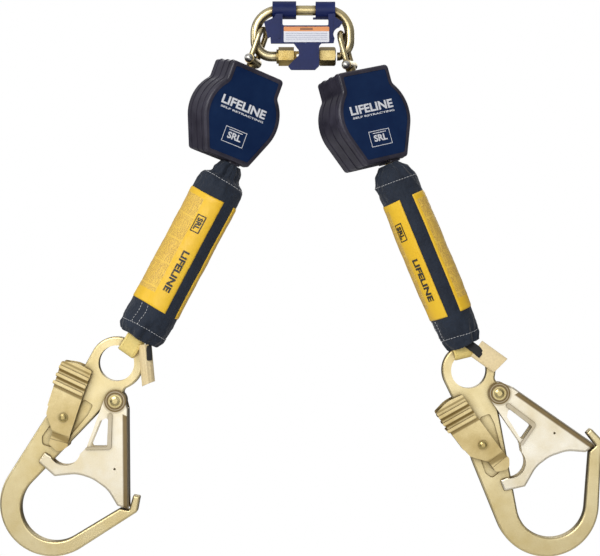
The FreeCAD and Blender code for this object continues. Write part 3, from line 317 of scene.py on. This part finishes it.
def woven(name, dark, light, across, lengthways, depth=0.00018, rough=0.78, sheen=0.25,
          crinkle=0.0):
    """Plain weave over UVs in metres: threads across and along, with slubs and random lighter patches
    of painted highlight.
    """
    s = Shader(name)
    flat = s.coords("UV")
    split = s.add("SeparateXYZ", {"Vector": flat})
    warp = s.math("SINE", s.math("MULTIPLY", split.outputs[0], math.tau / across))
    weft = s.math("SINE", s.math("MULTIPLY", split.outputs[1], math.tau / lengthways))
    weave = s.math("MULTIPLY_ADD", s.math("MULTIPLY", warp, weft), 0.5, 0.5)
    slub = s.noise(flat, 420, 3)
    highlight_patches = s.noise(s.coords(), 38, 5, 0.65)
    tone = s.mix(s.ramp(weave, (0.15, 0.0), (0.85, 1.0)), dark, light)
    # Painted highlights: random patches lifted towards the light thread colour.
    tone = s.mix(s.ramp(highlight_patches, (0.35, 0.0), (0.72, 0.75)), tone, light)
    tone = s.mix(s.ramp(slub, (0.35, 0.75), (0.65, 1.0)), [c * 0.6 for c in dark], tone)
    s.set(Base_Color=tone, Roughness=s.ramp(slub, (0.2, rough - 0.08), (0.8, rough + 0.08)),
          Sheen_Weight=sheen, Sheen_Roughness=0.4)
    if crinkle:
        s.bump(s.noise(s.coords(), 75, 5, 0.6), crinkle)
    s.bump(s.mix(0.3, weave, slub), depth, 0.7)
    return s.material


def thread(name, colour):
    s = Shader(name)
    twist = s.add("TexWave", {"Vector": s.coords(turn=(0.5, 0.6, 0.4)), "Scale": 900.0,
                              "Distortion": 1.5}).outputs["Fac"]
    s.set(Base_Color=s.mix(twist, [c * 0.75 for c in colour], colour), Roughness=0.7)
    s.bump(twist, 0.00008, 0.5)
    return s.material


GOLD = plated("pale_gold_zinc", (0.88, 0.78, 0.50), (0.70, 0.56, 0.26), 0.2, 0.7)
HOOK_GOLD = plated("hook_zinc", (0.95, 0.83, 0.52), (0.74, 0.58, 0.25), 0.28, 1.0)
GATE_GOLD = {side: plated(side + "_gate_zinc", (0.98, 0.93, 0.80), (0.90, 0.78, 0.52), 0.26,
                          0.7, marks=gate_marks_and_rivet_shadow(side)) for side in SIDES}
LEVER_GOLD = {side: plated(side + "_lever_zinc", (0.86, 0.72, 0.40), (0.58, 0.43, 0.17), 0.26,
                           0.8, marks=lever_rib_shade_and_waist_band(side)) for side in SIDES}
BRASSY = plated("collar_zinc", (0.80, 0.66, 0.32), (0.44, 0.30, 0.08), 0.2, 0.6)
BRIGHT = steel("bright_steel", (0.80, 0.78, 0.72), 0.2)
RIVET = plated("rivet_zinc", (0.80, 0.68, 0.36), (0.48, 0.36, 0.12), 0.22, 0.8)
BLUED = steel("spring_steel", (0.33, 0.32, 0.31), 0.3, (1, 1, 6))
FRAME_STEEL = steel("frame_steel", (0.62, 0.63, 0.65), 0.28, (1, 8, 1))
TURNED = steel("turned_alloy", (0.66, 0.67, 0.69), 0.25, (6, 1, 1))
SHELL = moulded("shell_plastic", (0.018, 0.016, 0.028), (0.062, 0.057, 0.082), 0.30, 1900)
NAVY = moulded("keeper_plastic", (0.004, 0.012, 0.085), (0.010, 0.022, 0.13), 0.38, 2600,
               0.1, 0.00003, 0.25)
PLATE = moulded("face_plate_film", (0.002, 0.016, 0.070), (0.005, 0.026, 0.092), 0.3, 3000,
                0.08, 0.00001, 0.25)
FABRIC = woven("cover_nylon", (0.002, 0.004, 0.010), (0.019, 0.032, 0.058), 0.0013, 0.0013,
               sheen=0.16, crinkle=0.004)
YELLOW = woven("yellow_webbing", (1.0, 0.73, 0.18), (1.0, 0.83, 0.34), 0.0016, 0.0011,
               0.00012, 0.7, 0.05)
CREAM = woven("cream_webbing", (1.0, 0.76, 0.36), (1.0, 0.84, 0.52), 0.0016, 0.0011,
              0.00012, 0.7, 0.05)
BLACK_WEB = woven("black_elastic", (0.006, 0.006, 0.007), (0.03, 0.03, 0.032), 0.001, 0.002)
PACK_WEB = woven("tear_webbing", (0.55, 0.54, 0.5), (0.8, 0.79, 0.74), 0.0016, 0.0011)
WHITE_THREAD = thread("white_thread", (0.85, 0.85, 0.86))
GOLD_THREAD = thread("gold_thread", (0.80, 0.62, 0.15))
INK_WHITE = moulded("printed_white", (0.86, 0.87, 0.9), (0.7, 0.72, 0.78), 0.4, 2500)
INK_BLACK = moulded("printed_black", (0.018, 0.017, 0.016), (0.05, 0.048, 0.045), 0.45, 2500)


def label_film(name):
    """Yellow film with fine rows of print; UVs in metres, u across the wrap, v down the cover."""
    s = Shader(name)
    flat = s.coords("UV")
    split = s.add("SeparateXYZ", {"Vector": flat})
    u, v = split.outputs[0], split.outputs[1]
    row = s.math("FRACT", s.math("MULTIPLY", u, 1 / 0.00135))
    marks = s.noise(s.coords("UV", scale=(740, 1500, 1)), 1.0, 2, 0.6)
    words = s.noise(s.coords("UV", scale=(741, 190, 1)), 1.0, 1, 0.4)
    print_row = s.math("MULTIPLY", s.inside(row, 0.18, 0.72),
                       s.math("MULTIPLY", s.math("GREATER_THAN", marks, 0.47),
                              s.math("GREATER_THAN", words, 0.40)))
    block = s.math("MULTIPLY", s.inside(u, -0.0290, 0.0140), s.inside(v, 0.006, 0.110))
    lines = s.math("MULTIPLY", s.inside(s.math("FRACT", s.math("MULTIPLY", v, 1 / 0.026)),
                                        0.06, 1.0), block)
    printed = s.math("MULTIPLY", print_row, lines)
    drift = s.noise(s.coords(), 40, 4, 0.6)
    film = s.mix(drift, (1.0, 0.57, 0.015), (1.0, 0.65, 0.035))
    paler = s.mix(s.math("MULTIPLY", block, 0.25), film, (0.98, 0.78, 0.32))
    s.set(Base_Color=s.mix(s.math("MULTIPLY", printed, 0.8), paler, (0.40, 0.19, 0.06)),
          Roughness=s.ramp(drift, (0.3, 0.36), (0.7, 0.5)), Sheen_Weight=0.05)
    s.bump(s.noise(s.coords(), 700, 2), 0.00005, 0.4)
    return s.material


def panel_film(name):
    """Small panel: an orange band with a dark bar over rows of plain dashes."""
    s = Shader(name)
    box = s.coords("Generated")
    split = s.add("SeparateXYZ", {"Vector": box})
    x, z = split.outputs[0], split.outputs[2]
    marks = s.noise(s.coords("Generated", scale=(120, 1, 7)), 1.0, 2, 0.5)
    row = s.math("FRACT", s.math("MULTIPLY", z, 8.0))
    dashes = s.math("MULTIPLY", s.inside(row, 0.3, 0.75),
                    s.math("MULTIPLY", s.math("GREATER_THAN", marks, 0.42),
                           s.math("MULTIPLY", s.inside(x, 0.04, 0.96), s.inside(z, 0.08, 0.62))))
    header = s.math("GREATER_THAN", z, 0.70)
    bar = s.math("MULTIPLY", s.inside(x, 0.36, 0.64), s.inside(z, 0.77, 0.93))
    white = s.mix(s.math("MULTIPLY", dashes, 0.6), (0.86, 0.87, 0.92), (0.18, 0.20, 0.34))
    orange = s.mix(s.math("MULTIPLY", bar, 0.75), (0.88, 0.33, 0.10), (0.16, 0.05, 0.02))
    drift = s.noise(s.coords(), 90, 3)
    s.set(Base_Color=s.mix(header, white, orange),
          Roughness=s.ramp(drift, (0.3, 0.3), (0.7, 0.42)), Coat_Weight=0.2)
    s.bump(drift, 0.00003, 0.3)
    return s.material


LABEL = label_film("label_film")
PANEL = panel_film("panel_film")

NODE_LOOK = {
    "link_body": GOLD, "nose_stud": GOLD, "hinge_collar": BRASSY, "gate_hinge_pin": BRIGHT,
    "gate_bar": GOLD,
    "lock_sleeve": BRASSY, "keeper_bracket": NAVY, "warning_label": PANEL,
}
LEG_LOOK = {
    "shackle_bow": GOLD, "shackle_pin": BRIGHT, "swivel_stud": GOLD, "front_shell": SHELL,
    "rear_shell": SHELL, "face_plate": PLATE, "load_frame": FRAME_STEEL, "drum_axle": BRIGHT,
    "housing_screws": BLUED, "drum": TURNED, "webbing_coil": YELLOW, "power_spring": BLUED,
    "pawl_a": BLUED, "pawl_b": BLUED, "web_nozzle": SHELL, "hook_body": HOOK_GOLD,
    "hook_rivets": RIVET,
    "gate_spring": BLUED, "lever_spring": BLUED,
}
for side in SIDES:
    NODE_LOOK.update({f"{side}_{name}": look for name, look in LEG_LOOK.items()})
    NODE_LOOK.update({side + "_hook_gate": GATE_GOLD[side], side + "_lock_lever": LEVER_GOLD[side]})
for name, look in NODE_LOOK.items():
    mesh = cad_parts[name].data
    mesh.materials.clear()
    mesh.materials.append(look)


# ---------------------------------------------------------------- mesh building
def new_piece(name, points, faces, look, body, uvs=None, flat_shading=False, closed=False):
    """A mesh piece in world metres that rides on a body; uvs holds one pair per point."""
    mesh = bpy.data.meshes.new(name)
    mesh.from_pydata([tuple(p) for p in points], [], faces)
    mesh.validate()
    if closed:
        turned = bmesh.new()
        turned.from_mesh(mesh)
        bmesh.ops.recalc_face_normals(turned, faces=turned.faces)
        turned.to_mesh(mesh)
        turned.free()
    if uvs:
        layer = mesh.uv_layers.new(name="flat")
        for loop in mesh.loops:
            layer.data[loop.index].uv = uvs[loop.vertex_index]
    mesh.materials.append(look)
    if not flat_shading:
        mesh.shade_smooth()
    piece = bpy.data.objects.new(name, mesh)
    bpy.context.scene.collection.objects.link(piece)
    if body:
        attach(piece, body)
    return piece


def grid(rows, columns, closed=False, start=0):
    """Quads over a grid of points, row by row; closed joins the last column to the first."""
    faces = []
    for r in range(rows - 1):
        for c in range(columns if closed else columns - 1):
            d = (c + 1) % columns
            low, high = start + r * columns, start + (r + 1) * columns
            faces.append((low + c, high + c, high + d, low + d))
    return faces


def modify(piece, kind, **settings):
    modifier = piece.modifiers.new(kind.lower(), kind)
    for key, value in settings.items():
        setattr(modifier, key, value)
    return modifier


def strap(name, path, widthways, width, thick, look, body, across=8):
    """Flat webbing along a path of points, with rounded selvedges. Returns the piece."""
    points, uvs = [], []
    length = 0.0
    half = width / 2
    section = []
    for k in range(across + 1):
        t = -1 + 2 * k / across
        edge = math.sqrt(max(0.0, 1 - max(0.0, (abs(t) - 0.86) / 0.14) ** 2))
        section.append((t * half, thick / 2 * (0.25 + 0.75 * edge)))
    section += [(x, -y) for x, y in reversed(section)]
    for i, point in enumerate(path):
        before, after = path[max(0, i - 1)], path[min(len(path) - 1, i + 1)]
        forward = (after - before).normalized()
        side_way = (widthways - forward * widthways.dot(forward)).normalized()
        up = forward.cross(side_way)
        if i:
            length += (point - path[i - 1]).length
        for x, y in section:
            points.append(point + side_way * x + up * y)
            uvs.append((x, length))
    count = len(section)
    faces = grid(len(path), count, closed=True)
    faces.append(tuple(range(count)))
    faces.append(tuple(reversed(range(len(points) - count, len(points)))))
    return new_piece(name, points, faces, look, body, uvs, closed=True)


def stitches(name, path, outward, look, body, long=2.4, gap=0.9, thick=0.42):
    """A row of separate stitches along a path of points, each a short bowed thread."""
    lengths = [0.0]
    for a, b in zip(path, path[1:]):
        lengths.append(lengths[-1] + (b - a).length)

    def at(distance):
        for i in range(len(path) - 1):
            if lengths[i + 1] >= distance:
                t = (distance - lengths[i]) / max(1e-9, lengths[i + 1] - lengths[i])
                return path[i].lerp(path[i + 1], t), outward[i].lerp(outward[i + 1], t).normalized()
        return path[-1], outward[-1]

    points, faces = [], []
    start = 0.0
    steps, around = 5, 6
    while start + long * MM < lengths[-1]:
        ring_start = len(points)
        for k in range(steps):
            t = k / (steps - 1)
            point, out = at(start + long * MM * t)
            ahead, _ = at(start + long * MM * t + 0.0002)
            forward = ahead - point
            forward = forward.normalized() if forward.length > 1e-9 else Vector((0, 0, 1))
            side_way = forward.cross(out).normalized()
            bow = math.sin(math.pi * t)
            centre = point + out * (thick * (0.55 * bow - 0.15) * MM)
            size = thick * (0.30 + 0.22 * bow) * MM
            for j in range(around):
                a = math.tau * j / around
                points.append(centre + (side_way * math.cos(a) + out * math.sin(a)) * size)
        faces += grid(steps, around, closed=True, start=ring_start)
        faces.append(tuple(ring_start + j for j in range(around)))
        faces.append(tuple(ring_start + (steps - 1) * around + j for j in reversed(range(around))))
        start += (long + gap) * MM
    return new_piece(name, points, faces, look, body, closed=True)


# ---------------------------------------------------------------- absorber covers
class Cover:
    """The fabric sleeve's outer surface in its own frame: angle and depth to a point."""

    def __init__(self, side):
        leg = LEGS[side]
        self.leg = leg
        self.place = place_at(leg["cover"], leg["cover_tilt"], leg["cover_turn"])
        self.seed = Vector((leg["seed"] * 7.1, leg["seed"] * 3.7, leg["seed"] * 1.3))
        chance = random.Random(leg["seed"])
        self.folds = [(k, chance.uniform(0, math.tau), chance.uniform(0.5, 1.0))
                      for k in (5, 7, 9, 12, 15)]
        self.profile = leg["neck"] + [(60, 24.4), (130, 24.4)] + leg["cuff"]

    def radius(self, angle, depth):
        base = along(self.profile, depth)
        top = 1 - smooth(8, 34, depth)
        bottom = smooth(COVER_LENGTH - 30, COVER_LENGTH - 4, depth)
        pleat = sum(size * math.cos(k * angle + phase + 0.02 * depth)
                    for k, phase, size in self.folds) / 3.2
        ring = Vector((math.cos(angle) * 24, math.sin(angle) * 24, depth))
        broad = noise.noise(ring * 0.045 + self.seed)
        creased = 1 - abs(noise.noise(ring * 0.085 + self.seed * 2)) * 2
        fine = noise.noise(ring * 0.22 + self.seed * 3)
        body = smooth(26, 40, depth) * (1 - bottom)
        swell = (self.leg["gather"] * 1.25 * top + self.leg["bunch"] * bottom) * pleat
        wrinkle = 0.7 * broad + 0.6 * creased * (1 - 0.6 * body) + 0.25 * fine
        tie = -0.5 * math.exp(-((depth - HEM_LINE) / 1.6) ** 2)
        flat = 2.6 * math.cos(2 * angle) * smooth(0, 34, depth) * (1 - 0.4 * bottom)
        return base + swell + wrinkle * (0.8 + 1.3 * (top + bottom)) + tie + flat

    def point(self, angle, depth, lift=0.0):
        r = self.radius(angle, depth) + lift
        sag = 0.0
        if depth > COVER_LENGTH - 6:
            sag = 1.6 * noise.noise(Vector((math.cos(angle), math.sin(angle), 0)) * 1.4
                                    + self.seed) * smooth(COVER_LENGTH - 6, COVER_LENGTH, depth)
        return self.place @ Vector((r * math.cos(angle), r * math.sin(angle), -depth + sag))

    def outward(self, angle):
        return (self.place.to_3x3() @ Vector((math.cos(angle), math.sin(angle), 0))).normalized()


def make_cover(side):
    cover = Cover(side)
    columns = 200
    depths = [NECK_TOP + (COVER_LENGTH - NECK_TOP) * k / 180 for k in range(181)]
    points, uvs = [], []
    for depth in depths:
        for c in range(columns):
            angle = math.tau * c / columns
            points.append(cover.point(angle, depth))
            uvs.append((angle * COVER_RADIUS * MM, depth * MM))
    hem = [(COVER_LENGTH + 0.35, -0.5), (COVER_LENGTH + 0.1, -1.3), (COVER_LENGTH - 3, -1.7),
           (COVER_LENGTH - 12, -1.8), (COVER_LENGTH - 24, -2.0)]
    for depth, lift in hem:
        for c in range(columns):
            angle = math.tau * c / columns
            points.append(cover.point(angle, min(depth, COVER_LENGTH), lift)
                          + (cover.place.to_3x3() @ Vector((0, 0, -max(0, depth - COVER_LENGTH)))))
            uvs.append((angle * COVER_RADIUS * MM, depth * MM))
    piece = new_piece(side + "_sleeve_fabric", points,
                      grid(len(depths) + len(hem), columns, closed=True), FABRIC,
                      side + "_line", uvs)
    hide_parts(side + "_absorber_cover")
    ring = [math.tau * k / 240 for k in range(241)]
    rows = [("_hem_stitches", [(a, HEM_LINE + 1.2 * math.sin(2 * a)) for a in ring]),
            ("_shoulder_stitches", [(a, SHOULDER_LINE + 1.2 * math.sin(a + 0.6)) for a in ring])]
    for name, offset in (("_seam_stitches_a", -0.17), ("_seam_stitches_b", 0.17)):
        angle = SEAM_ANGLE + offset
        rows.append((name, [(angle + 0.04 * math.sin(k * 0.11), COVER_LENGTH - 33 + k * 0.5)
                            for k in range(47)]))
    for name, spots in rows:
        trim = stitches(side + name, [cover.point(a, d, 0.12) for a, d in spots],
                        [cover.outward(a) for a, _ in spots], WHITE_THREAD, side + "_line",
                        2.2, 1.0, 0.5)
    labels = make_labels(side, cover)


def lettering(text):
    """Points and faces of bold plain capitals, scaled to fill a box of one by one by one."""
    curve = bpy.data.curves.new("letters", "FONT")
    curve.body = text
    curve.offset = 0.032
    curve.extrude = 0.02
    curve.resolution_u = 3
    holder = bpy.data.objects.new("letters", curve)
    bpy.context.scene.collection.objects.link(holder)
    ready = holder.evaluated_get(bpy.context.evaluated_depsgraph_get())
    mesh = bpy.data.meshes.new_from_object(ready)
    corners = [tuple(v.co) for v in mesh.vertices]
    faces = [tuple(p.vertices) for p in mesh.polygons]
    bpy.data.objects.remove(holder)
    bpy.data.curves.remove(curve)
    bpy.data.meshes.remove(mesh)
    low = [min(c[k] for c in corners) for k in range(3)]
    span = [max(c[k] for c in corners) - low[k] for k in range(3)]
    return [tuple((c[k] - low[k]) / span[k] for k in range(3)) for c in corners], faces


def make_labels(side, cover):
    """Two printed films that follow the sleeve, with their dark marks laid on top."""
    made = []
    for name, centre in (("front", -90), ("back", 90)):
        middle = math.radians(centre)
        rows, columns = 90, 48
        points, uvs = [], []

        def spot(across, down, lift):
            """across -1..1 over the arc, down 0..1 along the label."""
            angle = middle + across * LABEL_HALF_ARC
            depth = LABEL_TOP + down * LABEL_LENGTH + 0.5 * math.sin(3 * across + down * 4)
            edge = max(abs(across), abs(2 * down - 1))
            return cover.point(angle, depth, lift - 0.3 * smooth(0.97, 1.0, edge))

        for r in range(rows + 1):
            for c in range(columns + 1):
                across, down = -1 + 2 * c / columns, r / rows
                points.append(spot(across, down, 0.75))
                uvs.append((across * LABEL_WIDTH / 2 * MM, down * LABEL_LENGTH * MM))
        film = new_piece(f"{side}_label_{name}", points, grid(rows + 1, columns + 1), LABEL,
                         side + "_line", uvs)
        modify(film, "SOLIDIFY", thickness=0.0006, offset=-1)
        made.append(film)
        marks, faces = [], []
        for left, right, top, bottom in LABEL_FRAME:
            start = len(marks)
            steps_u = max(1, int((right - left) / 1.2))
            steps_v = max(1, int((bottom - top) / 1.2))
            for r in range(steps_v + 1):
                for c in range(steps_u + 1):
                    x = left + (right - left) * c / steps_u
                    y = top + (bottom - top) * r / steps_v
                    marks.append(spot(x / (LABEL_WIDTH / 2), y / LABEL_LENGTH, 1.0))
            faces += grid(steps_v + 1, steps_u + 1, start=start)
        for text, left, top, across_mm, along_mm in LABEL_WORDS:
            letters, sides = lettering(text)
            start = len(marks)
            marks += [spot((left + y * across_mm) / (LABEL_WIDTH / 2),
                           (top + x * along_mm) / LABEL_LENGTH, 0.7 + 0.65 * z)
                      for x, y, z in letters]
            faces += [tuple(start + k for k in face) for face in sides]
        ink = new_piece(f"{side}_label_{name}_marks", marks, faces, INK_BLACK, side + "_line")
        made.append(ink)
    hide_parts(side + "_absorber_labels")
    return made


# ---------------------------------------------------------------- webbing at the hooks
def make_eye_webbing(side):
    leg = LEGS[side]
    place = place_at(leg["eye"], leg["eye_lean"])
    turn = place.to_3x3()
    width_way = (turn @ Vector((1, 0, 0))).normalized()
    loop = [(8.6, 41.0), (8.7, 34.0), (8.6, 28.0), (8.5, 22.0), (8.2, 17.6), (6.6, 14.6), (3.6, 13.5),
            (0.0, 13.3), (-3.6, 13.5), (-6.6, 14.6), (-8.2, 17.6), (-8.5, 22.0), (-8.6, 28.0),
            (-8.7, 34.0), (-8.6, 41.0)]
    fine = []
    for (y0, z0), (y1, z1) in zip(loop, loop[1:]):
        fine += [(y0 + (y1 - y0) * k / 4, z0 + (z1 - z0) * k / 4) for k in range(4)]
    fine.append(loop[-1])
    for _ in range(3):
        fine = [fine[0]] + [((a[0] + 2 * b[0] + c[0]) / 4, (a[1] + 2 * b[1] + c[1]) / 4)
                            for a, b, c in zip(fine, fine[1:], fine[2:])] + [fine[-1]]
    path = [place @ Vector((leg["eye_aside"] + 0.6 * math.sin(k * 0.2), y, z))
            for k, (y, z) in enumerate(fine)]
    width = 18.0 if side == "left" else 22.0
    piece = strap(side + "_eye_webbing", path, width_way, width * MM, 2.1 * MM, YELLOW,
                  side + "_line", 14)
    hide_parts(side + "_eye_loop")
    for name, shift in (("_a", -width / 2 + 2.2), ("_b", width / 2 - 2.2)):
        rows = [(p + width_way * shift * MM) for p in path[28:]]
        out = (turn @ Vector((0, -1, 0))).normalized()
        row = stitches(side + "_webbing_stitches" + name,
                       [p + out * 1.1 * MM for p in rows], [out] * len(rows), GOLD_THREAD,
                       side + "_line", 2.0, 0.8, 0.4)


for side in SIDES:
    make_cover(side)
    make_eye_webbing(side)


def make_tail(side):
    """The webbing's folded free end beside the cuff, and the black elastic that holds it."""
    body, tail = side + "_line", TAILS[side]
    top, down = Vector(tail["top"]), Vector(tail["down"]).normalized()
    spread, length = tail["spread"], tail["length"]
    out = Vector((0, -1, 0))
    across = down.cross(out).normalized()
    away = across.cross(down).normalized()
    if away.y > 0:
        away = -away
    rows, columns = 30, 24
    thick = 2.0
    points, uvs = [], []
    for face in (0, 1):
        for r in range(rows + 1):
            t = r / rows
            curl = 1.4 * math.sin(t * 2.2) + 0.8 * t * t
            for c in range(columns + 1):
                s = c / columns
                x = spread[0][0] + (spread[-1][0] - spread[0][0]) * s
                y = -along_smooth(spread, x)
                edge = math.sqrt(max(0.05, 1 - max(0.0, (abs(2 * s - 1) - 0.86) / 0.14) ** 2))
                lift = y + curl + (thick * edge if face == 0 else 0.0)
                skew = (s - 0.5) * tail["skew"] * smooth(0.6, 1.0, t)
                points.append((top + down * (length * t + skew) + across * x
                               + away * lift) * MM)
                uvs.append((x * MM, length * t * MM))
    count = (rows + 1) * (columns + 1)
    faces = grid(rows + 1, columns + 1)
    faces += [tuple(reversed(f)) for f in grid(rows + 1, columns + 1, start=count)]
    rim = ([c for c in range(columns + 1)]
           + [(r + 1) * (columns + 1) + columns for r in range(rows)]
           + [rows * (columns + 1) + columns - 1 - c for c in range(columns)]
           + [(rows - 1 - r) * (columns + 1) for r in range(rows - 1)])
    for a, b in zip(rim, rim[1:] + rim[:1]):
        faces.append((b, a, a + count, b + count))
    piece = new_piece(side + "_webbing_tail", points, faces, CREAM, body, uvs, closed=True)
    modify(piece, "BEVEL", width=0.0003, segments=2, limit_method="ANGLE")
    path = [Vector(p) * MM for p in tail["elastic"]]
    for _ in range(2):
        path = [path[0]] + [q for a, b in zip(path, path[1:])
                            for q in (a.lerp(b, 0.25), a.lerp(b, 0.75))] + [path[-1]]
    band = strap(side + "_elastic_keeper", path, Vector(tail["elastic_way"]),
                 tail["elastic_width"] * MM, 1.6 * MM, BLACK_WEB, body)


def along_smooth(table, value):
    """Cosine-eased curve through (position, value) pairs."""
    for (near, first), (far, second) in zip(table, table[1:]):
        if value <= far + 1e-9:
            t = min(1.0, max(0.0, (value - near) / (far - near)))
            t = t * t * (3 - 2 * t) * 0.6 + t * 0.4
            return first + (second - first) * t
    return table[-1][1]


# ---------------------------------------------------------------- webbing from the housing and inside the sleeve
def make_lifeline(side):
    """The strap from the housing's nozzle down into the sleeve's neck, where the real webbing pays
    out; this piece rides on no body.
    """
    leg = LEGS[side]
    house = place_at(leg["pin"], leg["tilt"], leg["swivel"])
    cover = place_at(leg["cover"], leg["cover_tilt"], leg["cover_turn"])
    start = house @ Vector((11.0, -7.5, -98.0))
    leave = house @ Vector((11.0, -7.5, -106.0))
    end = cover @ Vector((0, 0, -6.0))
    steps = 12
    path = [start.lerp(leave, k / 3) for k in range(3)]
    path += [leave.lerp(end, k / steps) for k in range(steps + 1)]
    way_top = (house.to_3x3() @ Vector((0, 1, 0))).normalized()
    piece = strap(side + "_web_strap", path, way_top, 16.4 * MM, 1.5 * MM, YELLOW,
                  None, 10)
    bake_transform(piece)
    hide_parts(side + "_lifeline_web")


def make_tear_pack(side):
    """The folded tear webbing inside the sleeve: a zigzag stack."""
    leg = LEGS[side]
    place = place_at(leg["cover"], leg["cover_tilt"], leg["cover_turn"])
    turn = place.to_3x3()
    path = []
    layers, high, low = 9, -40.0, -144.0
    for k in range(layers):
        y = -8.0 + 16.0 * k / (layers - 1)
        ends = (high, low) if k % 2 == 0 else (low, high)
        path += [Vector((0, y, ends[0] + (ends[1] - ends[0]) * t / 10)) for t in range(11)]
        if k < layers - 1:
            bulge = -4.0 if ends[1] == low else 4.0
            path.append(Vector((0, y + 1.0, ends[1] + bulge * 0.7)))
    path = [place @ p for p in path]
    piece = strap(side + "_tear_pack", path, (turn @ Vector((1, 0, 0))).normalized(),
                  32 * MM, 1.3 * MM, PACK_WEB, side + "_line")
    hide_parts(side + "_absorber_pack")


# ---------------------------------------------------------------- printed marks on the plates
def make_plate_marks(side):
    """White print on the face plate: the kind of product in plain capitals, and a frame."""
    leg = LEGS[side]
    place = place_at(leg["pin"], leg["tilt"], leg["swivel"])
    front = -22.62
    points, faces = [], []
    for text, left, low, wide, high in (
            ("LIFELINE", -27.0, -52.4, 50.0, 8.6), ("SELF RETRACTING", -26.0, -56.4, 49.0, 1.9),
            ("SRL", -8.6, -82.6, 15.4, 6.8)):
        letters, sides = lettering(text)
        start = len(points)
        points += [place @ Vector((left + x * wide, front - 0.06 * z, low + y * high))
                   for x, y, z in letters]
        faces += [tuple(start + k for k in face) for face in sides]
    line = 0.6
    left, right, low, high = -13.2, 11.0, -87.2, -71.6
    bars = [(left, right, high - line, high), (left, right, low, low + line),
            (left, left + line, low + line, high - line),
            (right - line, right, low + line, high - line), (-8.6, 6.8, -74.4, -73.6)]
    for left, right, low, high in bars:
        s = len(points)
        for y in (front - 0.06, front):
            points += [place @ Vector(p) for p in ((left, y, low), (right, y, low),
                                                   (right, y, high), (left, y, high))]
        faces += [(s, s + 1, s + 2, s + 3), (s + 7, s + 6, s + 5, s + 4)]
        faces += [(s + k, s + 4 + k, s + 4 + (k + 1) % 4, s + (k + 1) % 4) for k in range(4)]
    piece = new_piece(side + "_plate_marks", points, faces, INK_WHITE, side + "_housing",
                      flat_shading=True)


for side in SIDES:
    make_tail(side)
    make_lifeline(side)
    make_tear_pack(side)
    make_plate_marks(side)


# ---------------------------------------------------------------- stage, light and camera
def make_floor():
    mesh = bpy.data.meshes.new("floor")
    size, low = 6.0, -2.3
    mesh.from_pydata([(-size, -size, low), (size, -size, low), (size, size, low),
                      (-size, size, low)], [], [(0, 1, 2, 3)])
    s = Shader("pale_floor")
    drift = s.noise(s.coords(), 3, 2)
    s.set(Base_Color=s.mix(drift, (0.86, 0.86, 0.86), (0.9, 0.9, 0.9)), Roughness=0.8)
    mesh.materials.append(s.material)
    floor = bpy.data.objects.new("floor", mesh)
    bpy.context.scene.collection.objects.link(floor)


def make_lamp(name, place, size, power, target=(0, 0, -0.27)):
    lamp = bpy.data.lights.new(name, "AREA")
    lamp.shape = "RECTANGLE"
    lamp.size, lamp.size_y = size
    lamp.energy = power
    holder = bpy.data.objects.new(name, lamp)
    holder.location = place
    holder.rotation_mode = "QUATERNION"
    holder.rotation_quaternion = (Vector(target) - Vector(place)).to_track_quat("-Z", "Y")
    bpy.context.scene.collection.objects.link(holder)


def make_world():
    """White all round for the eye; a soft grey room with bright ends for light and reflections."""
    world = bpy.data.worlds.new("studio")
    world.use_nodes = True
    nodes, links = world.node_tree.nodes, world.node_tree.links
    seen = nodes["Background"]
    seen.inputs["Color"].default_value = (1, 1, 1, 1)
    room = nodes.new("ShaderNodeBackground")
    room.inputs["Strength"].default_value = 1.0
    spot = nodes.new("ShaderNodeTexCoord")
    split = nodes.new("ShaderNodeSeparateXYZ")
    links.new(spot.outputs["Generated"], split.inputs[0])
    ramp = nodes.new("ShaderNodeValToRGB")
    shift = nodes.new("ShaderNodeMath")
    shift.operation = "MULTIPLY_ADD"
    shift.inputs[1].default_value = 0.5
    shift.inputs[2].default_value = 0.5
    links.new(split.outputs[2], shift.inputs[0])
    links.new(shift.outputs[0], ramp.inputs[0])
    bands = ramp.color_ramp.elements
    bands[0].position, bands[0].color = 0.0, (0.30, 0.30, 0.30, 1)
    bands[1].position, bands[1].color = 1.0, (0.60, 0.60, 0.62, 1)
    middle = bands.new(0.5)
    middle.color = (0.07, 0.07, 0.072, 1)
    links.new(ramp.outputs[0], room.inputs["Color"])
    path = nodes.new("ShaderNodeLightPath")
    mix = nodes.new("ShaderNodeMixShader")
    links.new(path.outputs["Is Camera Ray"], mix.inputs[0])
    links.new(room.outputs[0], mix.inputs[1])
    links.new(seen.outputs[0], mix.inputs[2])
    links.new(mix.outputs[0], nodes["World Output"].inputs["Surface"])
    bpy.context.scene.world = world


make_floor()
make_world()
make_lamp("key_light", (-0.8, -1.8, 0.6), (1.2, 1.0), 20)
make_lamp("front_softbox", (0.05, -2.8, -0.22), (2.4, 1.7), 16)
make_lamp("side_light", (-1.8, -0.35, 0.1), (0.5, 1.2), 5)
make_lamp("back_light", (0.3, 1.6, 0.5), (1.6, 0.8), 10)
scene = bpy.context.scene
scene.view_settings.view_transform = "Standard"

camera = bpy.data.cameras.new("camera")
camera.lens = 90.0
camera.sensor_width = 36.0
eye = bpy.data.objects.new("camera", camera)
eye.location = (-0.0025, -1.5, -0.2675)
eye.rotation_euler = (math.pi / 2, 0, 0)
scene.collection.objects.link(eye)
scene.camera = eye
